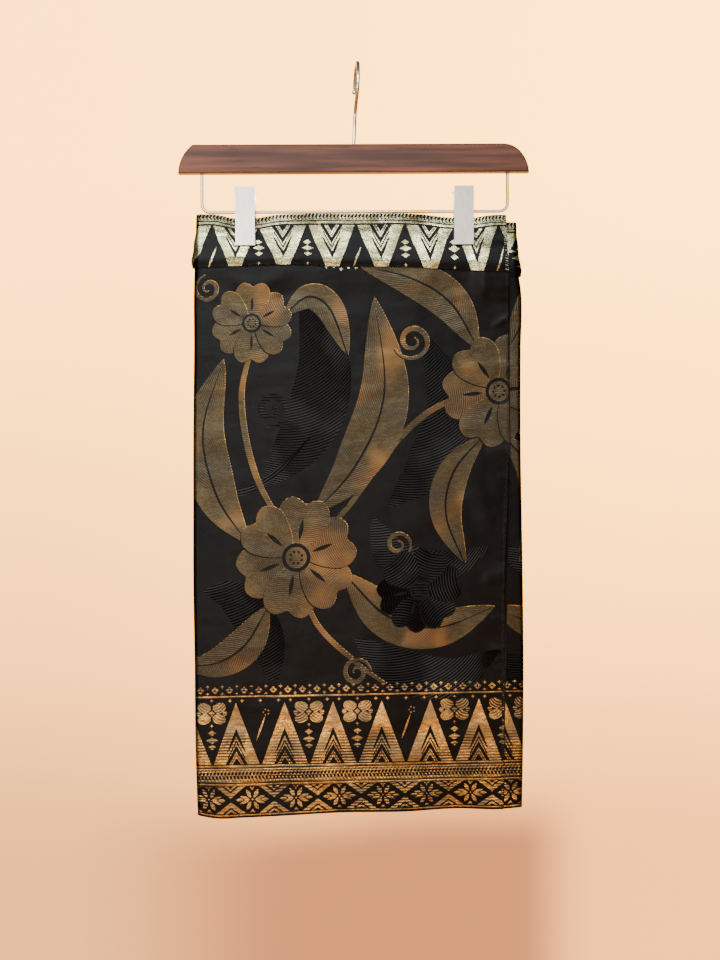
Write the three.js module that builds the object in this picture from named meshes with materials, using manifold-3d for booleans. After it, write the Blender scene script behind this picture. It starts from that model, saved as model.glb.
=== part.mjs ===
// A sampin, folded flat and hung by its waist from a wooden clip hanger.
// Millimetres, +Z up, the viewer on the -Y side, the origin at the inside top of the hook.
import * as THREE from "three";
import { mergeVertices } from "three/addons/utils/BufferGeometryUtils.js";
import Module from "manifold-3d";

const wasm = await Module();
wasm.setup();

// Hanger sizes
const BAR_X = -3.5;
const BAR_TOP_Z = -80;
const BAR_LENGTH = 350;
const BAR_HEIGHT = 28.5;
const BAR_DEPTH = 13;
const BAR_ROUND = 1.6;
const BAR_LEFT_END = 15;
const BAR_RIGHT_END = 26;
const HANG_TILT = THREE.MathUtils.degToRad(0.25);
const BORE_DEPTH = 14;
const BORE_CLEARANCE = 0.3;
const HOOK_WIRE_R = 1.75;
const HOOK_INSIDE_R = 20;
const HOOK_LEAN = 0.0412;
const HOOK_TURN = -0.085;
const HOOK_TIP_R = 2.4;
const FRAME_WIRE_R = 1.5;
const FRAME_Z = -146.9;
const FRAME_LEFT_X = -155.2;
const FRAME_RIGHT_X = 150.2;
const FRAME_CORNER_R = 8;

// Clip sizes, with y measured from the wire
const CLIP_WIDTH = 19.4;
const CLIP_LEFT_X = -111.5;
const CLIP_RIGHT_X = 105.9;
const CLIP_TOP_Z = -124;
const CLIP_JAW_Z = -181;
const CLIP_TOP_Y = 17;
const CLIP_JAW_Y = 9.6;
const PLATE = 1;
const FLANGE_DEPTH = 3.2;
const FLANGE_START = 14;
const EAR_R = 3.6;
const EAR_REACH = 10;
const EAR_LOW_REACH = 3.4;
const EAR_GAP = 0.4;
const SPRING_WIRE_R = 0.6;
const SPRING_R = 3.2;
const SPRING_TURNS = 5;
const SPRING_LENGTH = 11;
const SPRING_LEG = 15;
const PAD_WIDTH = 16;
const PAD_HEIGHT = 10;
const PAD_Z = -172.5;
const PAD_DEPTH = 1.3;

// Cloth sizes: half depths are from the middle plane to the middle of a layer
const SHEET = 1;
const GAP = 0.3;
const PITCH = SHEET + GAP;
const FLAP_Y = 3.7;
const BACK_Y = 3.7;
const UNDER_Y = 2.4;
const TUCK_TOP_Z = -184.5;
const FLAP_TOP_Z = -148.7;
const FLAP_TUCK_Z = -204;
const FLAP_TURN_IN = 21;
const UNDER_TOP_Z = -155.3;
const UNDER_TUCK_Z = -208.2;
const UNDER_TURN_IN = 14;
const TUCK_PROUD = 0.7;
const TUCK_ROUND = 1.05;
const WAIST_SWELL = 1.5;
const FLAP_LIFT = 3.2;
const FLAP_TOP_LIFT = 1.5;
const UNDER_REACH = 19;
const EDGE_ROUND_Z = 1.2;
const PROUD_HEIGHT = 5.5;
const HIDDEN_LAYERS = 4;
const LAYER_GROOVE = 0.4;
const GROOVE_SHARE = LAYER_GROOVE / 5.8;
const GROOVE_DEPTH = 3;
const LAYER_STEP = 0.5;
const BACK_HEM_LIFT = 0.8;
const UNDER_HEM_LIFT = 0.4;

const COLOURS = {
  cloth: 0x26272a,
  band: 0xb3ab86,
  layers: 0x1c1b1b,
  wood: 0x6a3526,
  steel: 0xc9c6c0,
  rubber: 0x2b2a29,
};

// The folded cloth's outline: the left fold, the right fold and the flap's free edge at each height
const OUTLINE = [
  { z: -148, left: -160.9, right: 159.4, flap: 148.4 },
  { z: -180, left: -161.8, right: 160.4, flap: 149.2 },
  { z: -204, left: -162.7, right: 161.2, flap: 150.2 },
  { z: -225, left: -163.3, right: 164.2, flap: 151.2 },
  { z: -285, left: -163.2, right: 164, flap: 151.4 },
  { z: -335, left: -163.7, right: 163.8, flap: 151.6 },
  { z: -385, left: -164, right: 164, flap: 152.3 },
  { z: -435, left: -164, right: 164.8, flap: 149 },
  { z: -522, left: -163.9, right: 166.2, flap: 147.4 },
  { z: -595, left: -162.6, right: 166.8, flap: 146.8 },
  { z: -678, left: -161.8, right: 166.4, flap: 146.4 },
  { z: -755, left: -159.3, right: 165, flap: 146 },
];

// The waist's top edge, pressed down at the clips
const TOP_EDGE = [
  { x: -162, z: -149.6 },
  { x: -140, z: -149.7 },
  { x: -124, z: -153 },
  { x: -100, z: -153 },
  { x: -80, z: -149.8 },
  { x: -58, z: -148.9 },
  { x: 0, z: -148.7 },
  { x: 60, z: -148.9 },
  { x: 94, z: -152.6 },
  { x: 118, z: -152.6 },
  { x: 135, z: -150.6 },
  { x: 170, z: -151 },
];

// The waist tuck's lower fold
const TUCK_EDGE = [
  { x: -165, drop: 0 },
  { x: -122, drop: 1.4 },
  { x: -70, drop: 3 },
  { x: -20, drop: 1.4 },
  { x: 60, drop: 0.2 },
  { x: 105, drop: -2.4 },
  { x: 151, drop: -3.8 },
  { x: 170, drop: -4 },
];

// The lower hem, which slants and waves a little
const HEM = [
  { x: -162, z: -749 },
  { x: -143, z: -752.4 },
  { x: -109, z: -751.6 },
  { x: -68, z: -749.6 },
  { x: -20, z: -746.8 },
  { x: 51, z: -745.6 },
  { x: 96, z: -742.6 },
  { x: 147, z: -743.2 },
  { x: 168, z: -741.2 },
];

// Puckers that the hem's stitching pulls up along the flap's free edge
const PUCKERS = [
  { z: -233, tall: 10, reach: 22, height: 1.1, slant: 0.1 },
  { z: -253, tall: 11, reach: 20, height: 1.3, slant: -0.5 },
  { z: -276, tall: 8, reach: 13, height: 0.8, slant: 0 },
  { z: -341, tall: 12, reach: 10, height: 0.7, slant: 0.2 },
  { z: -385, tall: 20, reach: 26, height: 1.5, slant: 0.15 },
  { z: -411, tall: 8, reach: 12, height: 0.8, slant: 0 },
  { z: -507, tall: 24, reach: 24, height: 1.2, slant: -0.3 },
  { z: -553, tall: 13, reach: 14, height: 0.9, slant: 0.1 },
  { z: -583, tall: 12, reach: 16, height: 1, slant: 0 },
  { z: -602, tall: 11, reach: 13, height: 0.8, slant: 0.1 },
];

// Broad soft swells of the hanging cloth, front and back
const SWELLS = [
  { x: -104, z: -218, wide: 34, tall: 12, height: 0.7, turn: 0.25 },
  { x: -40, z: -330, wide: 26, tall: 150, height: 0.8, turn: 0.12 },
  { x: 62, z: -420, wide: 30, tall: 170, height: 0.7, turn: -0.1 },
  { x: -120, z: -520, wide: 24, tall: 150, height: 0.8, turn: 0.06 },
  { x: 12, z: -610, wide: 34, tall: 120, height: 0.7, turn: 0.16 },
];

const FRONT_SHARES = [0, 0.012, 0.04, 0.075, 0.12, 0.18, 0.26, 0.34, 0.45, 0.56, 0.66, 0.76, 0.86, 0.94, 1];
const BACK_SHARES = [0, 0.1, 0.22, 0.35, 0.5, 0.65, 0.78, 0.9, 1];
const UNDER_SHARES = [0, 0.35, 0.6, 0.8, 1];
const FOLD_STEPS = 5;
const TUCK_ROWS = [-187.5, -191, -194.5, -198];
const LOWER_ROWS = [-206, -214, -225, -245, -265, -290, -320, -355, -395, -440, -490, -540, -590, -640, -690];
const HEM_ROWS = [-725, -741];
const BODY_ROWS = [TUCK_TOP_Z, ...TUCK_ROWS, ...LOWER_ROWS, ...HEM_ROWS];
const CORE_ROWS = [-160.5, -168, -173, -175, -184, -192, -206, -219, -240, -330, -440, -550, -660];
const CORE_COLUMNS = [-122, -100, -60, 0, 60];

// Shared maths

function smooth(from, to, at) {
  const sign = Math.sign(to - from);
  return THREE.MathUtils.smoothstep(sign * at, sign * from, sign * to);
}

function along(table, key, column, at) {
  const rising = table[1][key] > table[0][key];
  let i = 0;
  while (i < table.length - 2 && (rising ? table[i + 1][key] < at : table[i + 1][key] > at)) i++;
  const share = THREE.MathUtils.clamp((at - table[i][key]) / (table[i + 1][key] - table[i][key]), 0, 1);
  return THREE.MathUtils.lerp(table[i][column], table[i + 1][column], share);
}

function toSolid(geometry) {
  const plain = geometry.clone();
  plain.deleteAttribute("normal");
  plain.deleteAttribute("uv");
  const merged = mergeVertices(plain, 1e-4);
  const vertProperties = merged.attributes.position.array;
  const triVerts = new Uint32Array(merged.index.array);
  return new wasm.Manifold(new wasm.Mesh({ numProp: 3, vertProperties, triVerts }));
}

function toGeometry(solid) {
  const mesh = solid.getMesh();
  const geometry = new THREE.BufferGeometry();
  geometry.setAttribute("position", new THREE.BufferAttribute(mesh.vertProperties, 3));
  geometry.setIndex(new THREE.BufferAttribute(mesh.triVerts, 1));
  return geometry;
}

function named(name, geometry, colour, roughness, metalness) {
  const material = new THREE.MeshStandardMaterial({ color: colour, roughness, metalness });
  const mesh = new THREE.Mesh(geometry, material);
  mesh.name = name;
  return mesh;
}

// A closed mesh from corner points and quads, turned so that its faces point out
function closedGeometry(points, quads) {
  const faces = quads.flatMap(([a, b, c, d]) => [[a, b, c], [a, c, d]]);
  const volume = faces.reduce((sum, [a, b, c]) => sum + points[a].dot(points[b].clone().cross(points[c])), 0);
  const index = faces.flatMap(([a, b, c]) => (volume < 0 ? [a, c, b] : [a, b, c]));
  const geometry = new THREE.BufferGeometry();
  geometry.setAttribute("position", new THREE.Float32BufferAttribute(points.flatMap((p) => p.toArray()), 3));
  geometry.setIndex(index);
  return geometry;
}

// A wall of cloth: a grid of stations and rows, each with an outer and an inner point
function wallGeometry(grid) {
  const rows = grid[0].length;
  const points = grid.flatMap((station) => station.flatMap(({ outer, inner }) => [outer, inner]));
  const at = (i, j, side) => (i * rows + j) * 2 + side;
  const quads = [];
  for (let i = 0; i < grid.length - 1; i++) {
    for (let j = 0; j < rows - 1; j++) {
      quads.push([at(i, j, 0), at(i, j + 1, 0), at(i + 1, j + 1, 0), at(i + 1, j, 0)]);
      quads.push([at(i, j, 1), at(i + 1, j, 1), at(i + 1, j + 1, 1), at(i, j + 1, 1)]);
    }
    quads.push([at(i, 0, 0), at(i + 1, 0, 0), at(i + 1, 0, 1), at(i, 0, 1)]);
    const last = rows - 1;
    quads.push([at(i, last, 0), at(i, last, 1), at(i + 1, last, 1), at(i + 1, last, 0)]);
  }
  for (let j = 0; j < rows - 1; j++) {
    quads.push([at(0, j, 0), at(0, j, 1), at(0, j + 1, 1), at(0, j + 1, 0)]);
    const end = grid.length - 1;
    quads.push([at(end, j, 0), at(end, j + 1, 0), at(end, j + 1, 1), at(end, j, 1)]);
  }
  return closedGeometry(points, quads);
}

// Hanger

function barGeometry() {
  const inset = BAR_ROUND;
  const half = BAR_LENGTH / 2;
  const top = BAR_HEIGHT;
  const shape = new THREE.Shape();
  shape.moveTo(-half + inset, inset);
  shape.lineTo(half - inset, inset);
  shape.bezierCurveTo(half - 3, top * 0.45, half - 11, top - inset, half - BAR_RIGHT_END, top - inset);
  shape.lineTo(-half + BAR_LEFT_END, top - inset);
  shape.quadraticCurveTo(-half + 3, top * 0.6, -half + inset, inset);
  const depth = BAR_DEPTH - 2 * inset;
  const bevel = { bevelSize: inset, bevelThickness: inset, bevelSegments: 3 };
  const geometry = new THREE.ExtrudeGeometry(shape, { depth, curveSegments: 10, ...bevel });
  geometry.rotateX(Math.PI / 2);
  geometry.translate(0, depth / 2, -BAR_HEIGHT);
  return geometry;
}

function bore(radius, x, z) {
  const wide = radius + BORE_CLEARANCE;
  const drill = new THREE.CylinderGeometry(wide, wide, BORE_DEPTH * 2, 20);
  drill.rotateX(Math.PI / 2);
  drill.translate(x, 0, z);
  return toSolid(drill);
}

function barMesh() {
  const solid = toSolid(barGeometry())
    .subtract(bore(HOOK_WIRE_R, 0, 0))
    .subtract(bore(FRAME_WIRE_R, FRAME_LEFT_X - BAR_X, -BAR_HEIGHT))
    .subtract(bore(FRAME_WIRE_R, FRAME_RIGHT_X - BAR_X, -BAR_HEIGHT));
  return named("hanger_bar", toGeometry(solid), COLOURS.wood, 0.45, 0);
}

function wireSection(radius, sides) {
  const shape = new THREE.Shape();
  for (let i = 0; i < sides; i++) {
    const angle = (i / sides) * 2 * Math.PI;
    const x = radius * Math.cos(angle);
    const y = radius * Math.sin(angle);
    if (i === 0) shape.moveTo(x, y);
    else shape.lineTo(x, y);
  }
  shape.closePath();
  return shape;
}

function wireGeometry(points, radius, sides, steps) {
  const path = new THREE.CatmullRomCurve3(points, false, "centripetal");
  const section = wireSection(radius, sides);
  return new THREE.ExtrudeGeometry(section, { steps, extrudePath: path, bevelEnabled: false });
}

// The hook's own plane has u from the viewer's side to the back
function hookPoint(u, z) {
  return new THREE.Vector3(HOOK_LEAN * z + HOOK_TURN * u, u, z);
}

function hookMesh() {
  const radius = HOOK_INSIDE_R + HOOK_WIRE_R;
  const firstAngle = -6;
  const lastAngle = 228;
  const arcSteps = 18;
  const points = [];
  for (let i = 0; i <= arcSteps; i++) {
    const angle = THREE.MathUtils.degToRad(THREE.MathUtils.lerp(firstAngle, lastAngle, i / arcSteps));
    points.push(hookPoint(radius * Math.cos(angle), -HOOK_INSIDE_R + radius * Math.sin(angle)));
  }
  points.push(hookPoint(-5.6, -43.6), hookPoint(-1.4, -49.5), hookPoint(0, -58), hookPoint(0, BAR_TOP_Z + 4));
  points.push(new THREE.Vector3(BAR_X, 0, BAR_TOP_Z));
  points.push(new THREE.Vector3(BAR_X, 0, BAR_TOP_Z - BORE_DEPTH + 1));
  const tip = new THREE.SphereGeometry(HOOK_TIP_R, 12, 8);
  tip.translate(...points[0].toArray());
  const solid = toSolid(wireGeometry(points, HOOK_WIRE_R, 10, 48)).add(toSolid(tip));
  return named("hook", toGeometry(solid), COLOURS.steel, 0.2, 1);
}

function frameMesh() {
  const topZ = BAR_TOP_Z - BAR_HEIGHT + BORE_DEPTH - 1;
  const points = [];
  const steps = 5;
  const corner = (x, side) => {
    for (let i = 0; i <= steps; i++) {
      const angle = (i / steps) * (Math.PI / 2);
      const turned = side < 0 ? angle : Math.PI / 2 - angle;
      const dx = FRAME_CORNER_R * (1 - Math.cos(turned));
      const dz = FRAME_CORNER_R * (1 - Math.sin(turned));
      points.push(new THREE.Vector3(x - side * dx, 0, FRAME_Z + dz));
    }
  };
  points.push(new THREE.Vector3(FRAME_LEFT_X, 0, topZ));
  corner(FRAME_LEFT_X, -1);
  corner(FRAME_RIGHT_X, 1);
  points.push(new THREE.Vector3(FRAME_RIGHT_X, 0, topZ));
  points.forEach((p) => p.sub(new THREE.Vector3(BAR_X, 0, BAR_TOP_Z)));
  const rings = points.map((p, i) => {
    const before = points[Math.max(i - 1, 0)];
    const after = points[Math.min(i + 1, points.length - 1)];
    const tangent = after.clone().sub(before).normalize();
    const across = new THREE.Vector3(tangent.z, 0, -tangent.x);
    return wireRing(p, across, new THREE.Vector3(0, 1, 0), FRAME_WIRE_R, 10);
  });
  return named("wire_frame", ringsGeometry(rings), COLOURS.steel, 0.2, 1);
}

function wireRing(centre, across, up, radius, sides) {
  return Array.from({ length: sides }, (_, i) => {
    const angle = (i / sides) * 2 * Math.PI;
    return centre.clone().addScaledVector(across, radius * Math.cos(angle))
      .addScaledVector(up, radius * Math.sin(angle));
  });
}

// A closed solid through rings of equal counts, each end closed by a fan from its middle
function ringsGeometry(rings) {
  const sides = rings[0].length;
  const middle = (ring) => ring.reduce((sum, p) => sum.add(p), new THREE.Vector3()).divideScalar(sides);
  const points = [...rings.flat(), middle(rings[0]), middle(rings.at(-1))];
  const first = rings.length * sides;
  const last = first + 1;
  const faces = [];
  for (let i = 0; i < rings.length - 1; i++) {
    for (let k = 0; k < sides; k++) {
      const next = (k + 1) % sides;
      const [a, b, c, d] = [i * sides + k, i * sides + next, (i + 1) * sides + next, (i + 1) * sides + k];
      faces.push([a, b, c], [a, c, d]);
    }
  }
  for (let k = 0; k < sides; k++) {
    const next = (k + 1) % sides;
    const end = (rings.length - 1) * sides;
    faces.push([first, next, k], [last, end + k, end + next]);
  }
  const volume = faces.reduce((sum, [a, b, c]) => sum + points[a].dot(points[b].clone().cross(points[c])), 0);
  const geometry = new THREE.BufferGeometry();
  geometry.setAttribute("position", new THREE.Float32BufferAttribute(points.flatMap((p) => p.toArray()), 3));
  geometry.setIndex(faces.flatMap(([a, b, c]) => (volume < 0 ? [a, c, b] : [a, b, c])));
  return geometry;
}

// Clips: each plate is pressed with side flanges and two ears that turn on the wire

const CLIP_TOP = CLIP_TOP_Z - FRAME_Z;
const CLIP_JAW = CLIP_JAW_Z - FRAME_Z;

function plateY(z) {
  return THREE.MathUtils.mapLinear(z, CLIP_JAW, CLIP_TOP, CLIP_JAW_Y, CLIP_TOP_Y);
}

function sidewaysExtrusion(points, x, width) {
  const shape = new THREE.Shape(points.map(([y, z]) => new THREE.Vector2(y, z)));
  const geometry = new THREE.ExtrudeGeometry(shape, { depth: width, bevelEnabled: false });
  geometry.applyMatrix4(new THREE.Matrix4().set(0, 0, 1, x, 1, 0, 0, 0, 0, 1, 0, 0, 0, 0, 0, 1));
  return toSolid(geometry);
}

function earOutline() {
  const arc = [];
  const steps = 8;
  for (let i = 0; i <= steps; i++) {
    const angle = THREE.MathUtils.degToRad(THREE.MathUtils.lerp(-110, -250, i / steps));
    arc.push([EAR_R * Math.cos(angle), EAR_R * Math.sin(angle)]);
  }
  const low = [plateY(-EAR_LOW_REACH) - PLATE / 2, -EAR_LOW_REACH];
  return [low, ...arc, [plateY(EAR_REACH) - PLATE / 2, EAR_REACH]];
}

// A plate on the +Y side, with its ears this far in from its edges
function plateSolid(earInset) {
  const face = [[plateY(CLIP_JAW), CLIP_JAW], [plateY(CLIP_JAW) - PLATE, CLIP_JAW],
    [plateY(CLIP_TOP) - PLATE, CLIP_TOP], [plateY(CLIP_TOP), CLIP_TOP]];
  const low = CLIP_JAW + FLANGE_START;
  const flange = [[plateY(low) - PLATE / 2, low], [plateY(low + 3) - FLANGE_DEPTH, low + 3],
    [plateY(CLIP_TOP - 2) - FLANGE_DEPTH, CLIP_TOP - 2], [plateY(CLIP_TOP) - PLATE / 2, CLIP_TOP]];
  const wide = FRAME_WIRE_R + EAR_GAP;
  const hole = new THREE.CylinderGeometry(wide, wide, CLIP_WIDTH * 2, 16);
  hole.rotateZ(Math.PI / 2);
  const half = CLIP_WIDTH / 2;
  let solid = sidewaysExtrusion(face, -half, CLIP_WIDTH);
  for (const side of [-1, 1]) {
    const flangeX = side < 0 ? -half : half - PLATE;
    const earX = side < 0 ? -half + earInset : half - earInset - PLATE;
    solid = solid.add(sidewaysExtrusion(flange, flangeX, PLATE));
    solid = solid.add(sidewaysExtrusion(earOutline(), earX, PLATE));
  }
  return solid.subtract(toSolid(hole));
}

function plateMesh(name, front) {
  const geometry = toGeometry(plateSolid(front ? 0 : PLATE + EAR_GAP));
  if (front) geometry.rotateZ(Math.PI);
  return named(name, geometry, COLOURS.steel, 0.3, 1);
}

function springMesh(name) {
  const points = [];
  const stepsPerTurn = 9;
  const steps = SPRING_TURNS * stepsPerTurn;
  const legY = plateY(SPRING_LEG) - PLATE - GAP - SPRING_WIRE_R;
  const bendY = SPRING_R * 1.2;
  points.push(new THREE.Vector3(-SPRING_LENGTH / 2, -legY, SPRING_LEG));
  points.push(new THREE.Vector3(-SPRING_LENGTH / 2, -bendY, SPRING_LEG / 3));
  for (let i = 0; i <= steps; i++) {
    const angle = Math.PI + (i / stepsPerTurn) * 2 * Math.PI * ((SPRING_TURNS - 0.5) / SPRING_TURNS);
    const x = THREE.MathUtils.lerp(-SPRING_LENGTH / 2, SPRING_LENGTH / 2, i / steps);
    points.push(new THREE.Vector3(x, SPRING_R * Math.cos(angle), SPRING_R * Math.sin(angle)));
  }
  points.push(new THREE.Vector3(SPRING_LENGTH / 2, bendY, SPRING_LEG / 3));
  points.push(new THREE.Vector3(SPRING_LENGTH / 2, legY, SPRING_LEG));
  const geometry = wireGeometry(points, SPRING_WIRE_R, 6, steps + 6);
  return named(name, geometry, COLOURS.steel, 0.3, 1);
}

function padMesh(name, front) {
  const round = 0.4;
  const seat = 0.05;
  const shape = new THREE.Shape();
  const w = PAD_WIDTH / 2 - round;
  const h = PAD_HEIGHT / 2 - round;
  shape.moveTo(-w, -h);
  shape.lineTo(w, -h);
  shape.lineTo(w, h);
  shape.lineTo(-w, h);
  shape.closePath();
  const depth = PAD_DEPTH - 2 * round;
  const bevel = { bevelSize: round, bevelThickness: round, bevelSegments: 1 };
  const geometry = new THREE.ExtrudeGeometry(shape, { depth, ...bevel });
  geometry.rotateX(Math.PI / 2);
  geometry.translate(0, depth / 2, 0);
  const z = PAD_Z - FRAME_Z;
  const lean = Math.atan2(CLIP_TOP_Y - CLIP_JAW_Y, CLIP_TOP - CLIP_JAW);
  geometry.rotateX(-lean);
  geometry.translate(0, plateY(z) - (PLATE + GAP) / Math.cos(lean) - PAD_DEPTH / 2 - seat, z);
  if (front) geometry.rotateZ(Math.PI);
  return named(name, geometry, COLOURS.rubber, 0.8, 0);
}

function clipGroup(name, x) {
  const clip = new THREE.Group();
  clip.position.set(x - BAR_X, 0, FRAME_Z - BAR_TOP_Z);
  clip.add(plateMesh(`${name}_front`, true), plateMesh(`${name}_back`, false), springMesh(`${name}_spring`));
  clip.add(padMesh(`${name}_pad_front`, true), padMesh(`${name}_pad_back`, false));
  return clip;
}

// Cloth: every layer is placed by its distance from the stack's middle plane

function waistSwell(z) {
  return WAIST_SWELL * smooth(-176, -188, z) * smooth(-238, -206, z);
}

function flapLift(x, z) {
  const overTop = THREE.MathUtils.lerp(FLAP_TOP_LIFT, FLAP_LIFT, smooth(-174, -186, z));
  return overTop * smooth(112, 128, x) * smooth(-240, -219, z);
}

function pucker(x, z) {
  const edge = along(OUTLINE, "z", "flap", z);
  return PUCKERS.reduce((sum, row) => {
    const inward = edge - x;
    const share = THREE.MathUtils.clamp(1 - inward / row.reach, 0, 1);
    const off = (z - row.z - row.slant * inward) / (row.tall / 2);
    const hump = Math.abs(off) < 1 ? Math.cos((off * Math.PI) / 2) ** 2 : 0;
    return sum + row.height * hump * share ** 0.7 * smooth(0, 0.25, share);
  }, 0);
}

function swell(x, z) {
  return SWELLS.reduce((sum, row) => {
    const across = (x - row.x) * Math.cos(row.turn) + (z - row.z) * Math.sin(row.turn);
    const down = (z - row.z) * Math.cos(row.turn) - (x - row.x) * Math.sin(row.turn);
    return sum + row.height * Math.exp(-((across / row.wide) ** 2) - (down / (row.tall / 2)) ** 2);
  }, 0);
}

// How far the waist's own edges hang from their level lines
function waistDrop(x, z) {
  const top = (along(TOP_EDGE, "x", "z", x) - FLAP_TOP_Z) * smooth(-178, -160, z);
  return top + along(TUCK_EDGE, "x", "drop", x) * smooth(-180, -196, z);
}

// A layer's plan at one height: where its fold turns, how far from the middle plane, and its free edge
function flapPlan(z) {
  const depth = FLAP_Y + waistSwell(z);
  const foldX = along(OUTLINE, "z", "left", z) + depth + SHEET / 2;
  return { radius: depth, foldX, edgeX: along(OUTLINE, "z", "flap", z), middleY: 0, side: -1 };
}

function underPlan(z) {
  const radius = (BACK_Y + UNDER_Y) / 2 + waistSwell(z);
  const foldX = along(OUTLINE, "z", "right", z) - radius - SHEET / 2;
  const edgeX = along(OUTLINE, "z", "flap", z) - UNDER_REACH;
  return { radius, foldX, edgeX, middleY: (BACK_Y - UNDER_Y) / 2, side: 1 };
}

function planX(plan, station, offset) {
  if (station.angle === undefined) return THREE.MathUtils.lerp(plan.edgeX, plan.foldX, station.share);
  return plan.foldX + plan.side * (plan.radius + offset) * Math.sin(station.angle);
}

// A point of a folded layer: along its flat front, or at an angle round its fold
function foldedPoint(planAt, relief, station, offset, z, isBand) {
  const level = isBand ? z + waistDrop(planX(planAt(z), station, offset), z) : z;
  const plan = planAt(level);
  const x = planX(plan, station, offset);
  const out = plan.radius + offset + (station.angle === undefined ? relief(x, level, isBand) : 0);
  const turn = station.angle ?? 0;
  return new THREE.Vector3(x, plan.middleY - out * Math.cos(turn), level);
}

function flapRelief(x, z, isBand) {
  return flapLift(x, z) + (isBand ? 0 : pucker(x, z) + swell(x, z) * smooth(-150, -130, x));
}

function flapPoint(station, offset, z, isBand) {
  return foldedPoint(flapPlan, flapRelief, station, offset, z, isBand);
}

function underPoint(station, offset, z, isBand) {
  return foldedPoint(underPlan, () => 0, station, offset, z, isBand);
}

function backPoint(station, offset, z, isBand) {
  const ends = (at) => [flapPlan(at).foldX + GAP, underPlan(at).foldX - GAP];
  const level = isBand ? z + waistDrop(THREE.MathUtils.lerp(...ends(z), station.share), z) : z;
  const x = THREE.MathUtils.lerp(...ends(level), station.share);
  const relief = isBand ? 0 : swell(-x, level) * smooth(-150, -120, x) * smooth(150, 120, x);
  return new THREE.Vector3(x, BACK_Y + waistSwell(level) + offset + relief, level);
}

const shares = (list) => list.map((share) => ({ share }));
const angles = (from, to) => Array.from({ length: FOLD_STEPS }, (_, i) => ({
  angle: THREE.MathUtils.lerp(from, to, (from === 0 ? i + 1 : i) / FOLD_STEPS),
}));
const FLAP_STATIONS = [...shares(FRONT_SHARES), ...angles(0, Math.PI)];
const BACK_STATIONS = shares(BACK_SHARES);
const UNDER_STATIONS = [...angles(Math.PI, 0), ...shares([...UNDER_SHARES].reverse())];

// The hem's height under a point of the cloth
function hemZ(x) {
  return along(HEM, "x", "z", x);
}

function bodyWall(stations, place, rows, hemLift) {
  return wallGeometry(stations.map((station) => rows.map((row, j) => {
    const probe = place(station, 0, row, false);
    const z = j === rows.length - 1 ? hemZ(probe.x) + hemLift : row;
    return { outer: place(station, SHEET / 2, z, false), inner: place(station, -SHEET / 2, z, false) };
  })));
}

// The waist tuck's section, from the turned-in edge over the top, down the front and back up inside
function bandSection(topZ, foldZ, turnIn) {
  const section = [[-PITCH, topZ - turnIn], [-PITCH, topZ - turnIn / 2], [-PITCH, topZ - EDGE_ROUND_Z]];
  section.push([-PITCH * 0.85, topZ - 0.72], [-PITCH / 2, topZ - 0.5], [-PITCH * 0.15, topZ - 0.72]);
  section.push([0, topZ - EDGE_ROUND_Z]);
  const front = 2 * PITCH;
  for (const z of [topZ - 5, topZ - 14, -172]) section.push([0, z]);
  for (const share of [0.3, 0.55, 0.8, 1]) {
    section.push([front * smooth(0, 1, share), THREE.MathUtils.lerp(-173, TUCK_TOP_Z + 1.5, share)]);
  }
  section.push([front + TUCK_PROUD * 0.4, foldZ + 12], [front + TUCK_PROUD, foldZ + PROUD_HEIGHT]);
  const wide = (front + TUCK_PROUD - PITCH) / 2;
  for (const share of [0.2, 0.4, 0.6, 0.8, 1]) {
    const angle = share * Math.PI;
    const round = 0.5 + wide * Math.sin(angle);
    const z = foldZ + 0.5 + TUCK_ROUND + wide - round - 0.6 * share;
    section.push([PITCH + wide * (1 + Math.cos(angle)), z]);
  }
  for (const z of [...TUCK_ROWS].reverse()) section.push([PITCH, z]);
  section.push([PITCH, TUCK_TOP_Z - GAP]);
  return section;
}

// Each section point's outer and inner offsets, square to the section
function thickened(section) {
  return section.map(([d, z], i) => {
    const [d0, z0] = section[Math.max(i - 1, 0)];
    const [d1, z1] = section[Math.min(i + 1, section.length - 1)];
    const length = Math.hypot(d1 - d0, z1 - z0);
    const [nd, nz] = [-(z1 - z0) / length, (d1 - d0) / length];
    const half = SHEET / 2;
    return { outer: [d + nd * half, z + nz * half], inner: [d - nd * half, z - nz * half] };
  });
}

function bandWall(stations, place, topZ, foldZ, turnIn) {
  const section = thickened(bandSection(topZ, foldZ, turnIn));
  return wallGeometry(stations.map((station) => section.map(({ outer, inner }) => ({
    outer: place(station, ...outer, true),
    inner: place(station, ...inner, true),
  }))));
}

function flapRows() {
  const extra = PUCKERS.flatMap(({ z, tall }) => [z + tall / 2, z, z - tall / 2]);
  const all = [...BODY_ROWS, ...extra].sort((a, b) => b - a);
  return all.filter((z, i) => i === 0 || all[i - 1] - z > 2.4);
}

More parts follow.
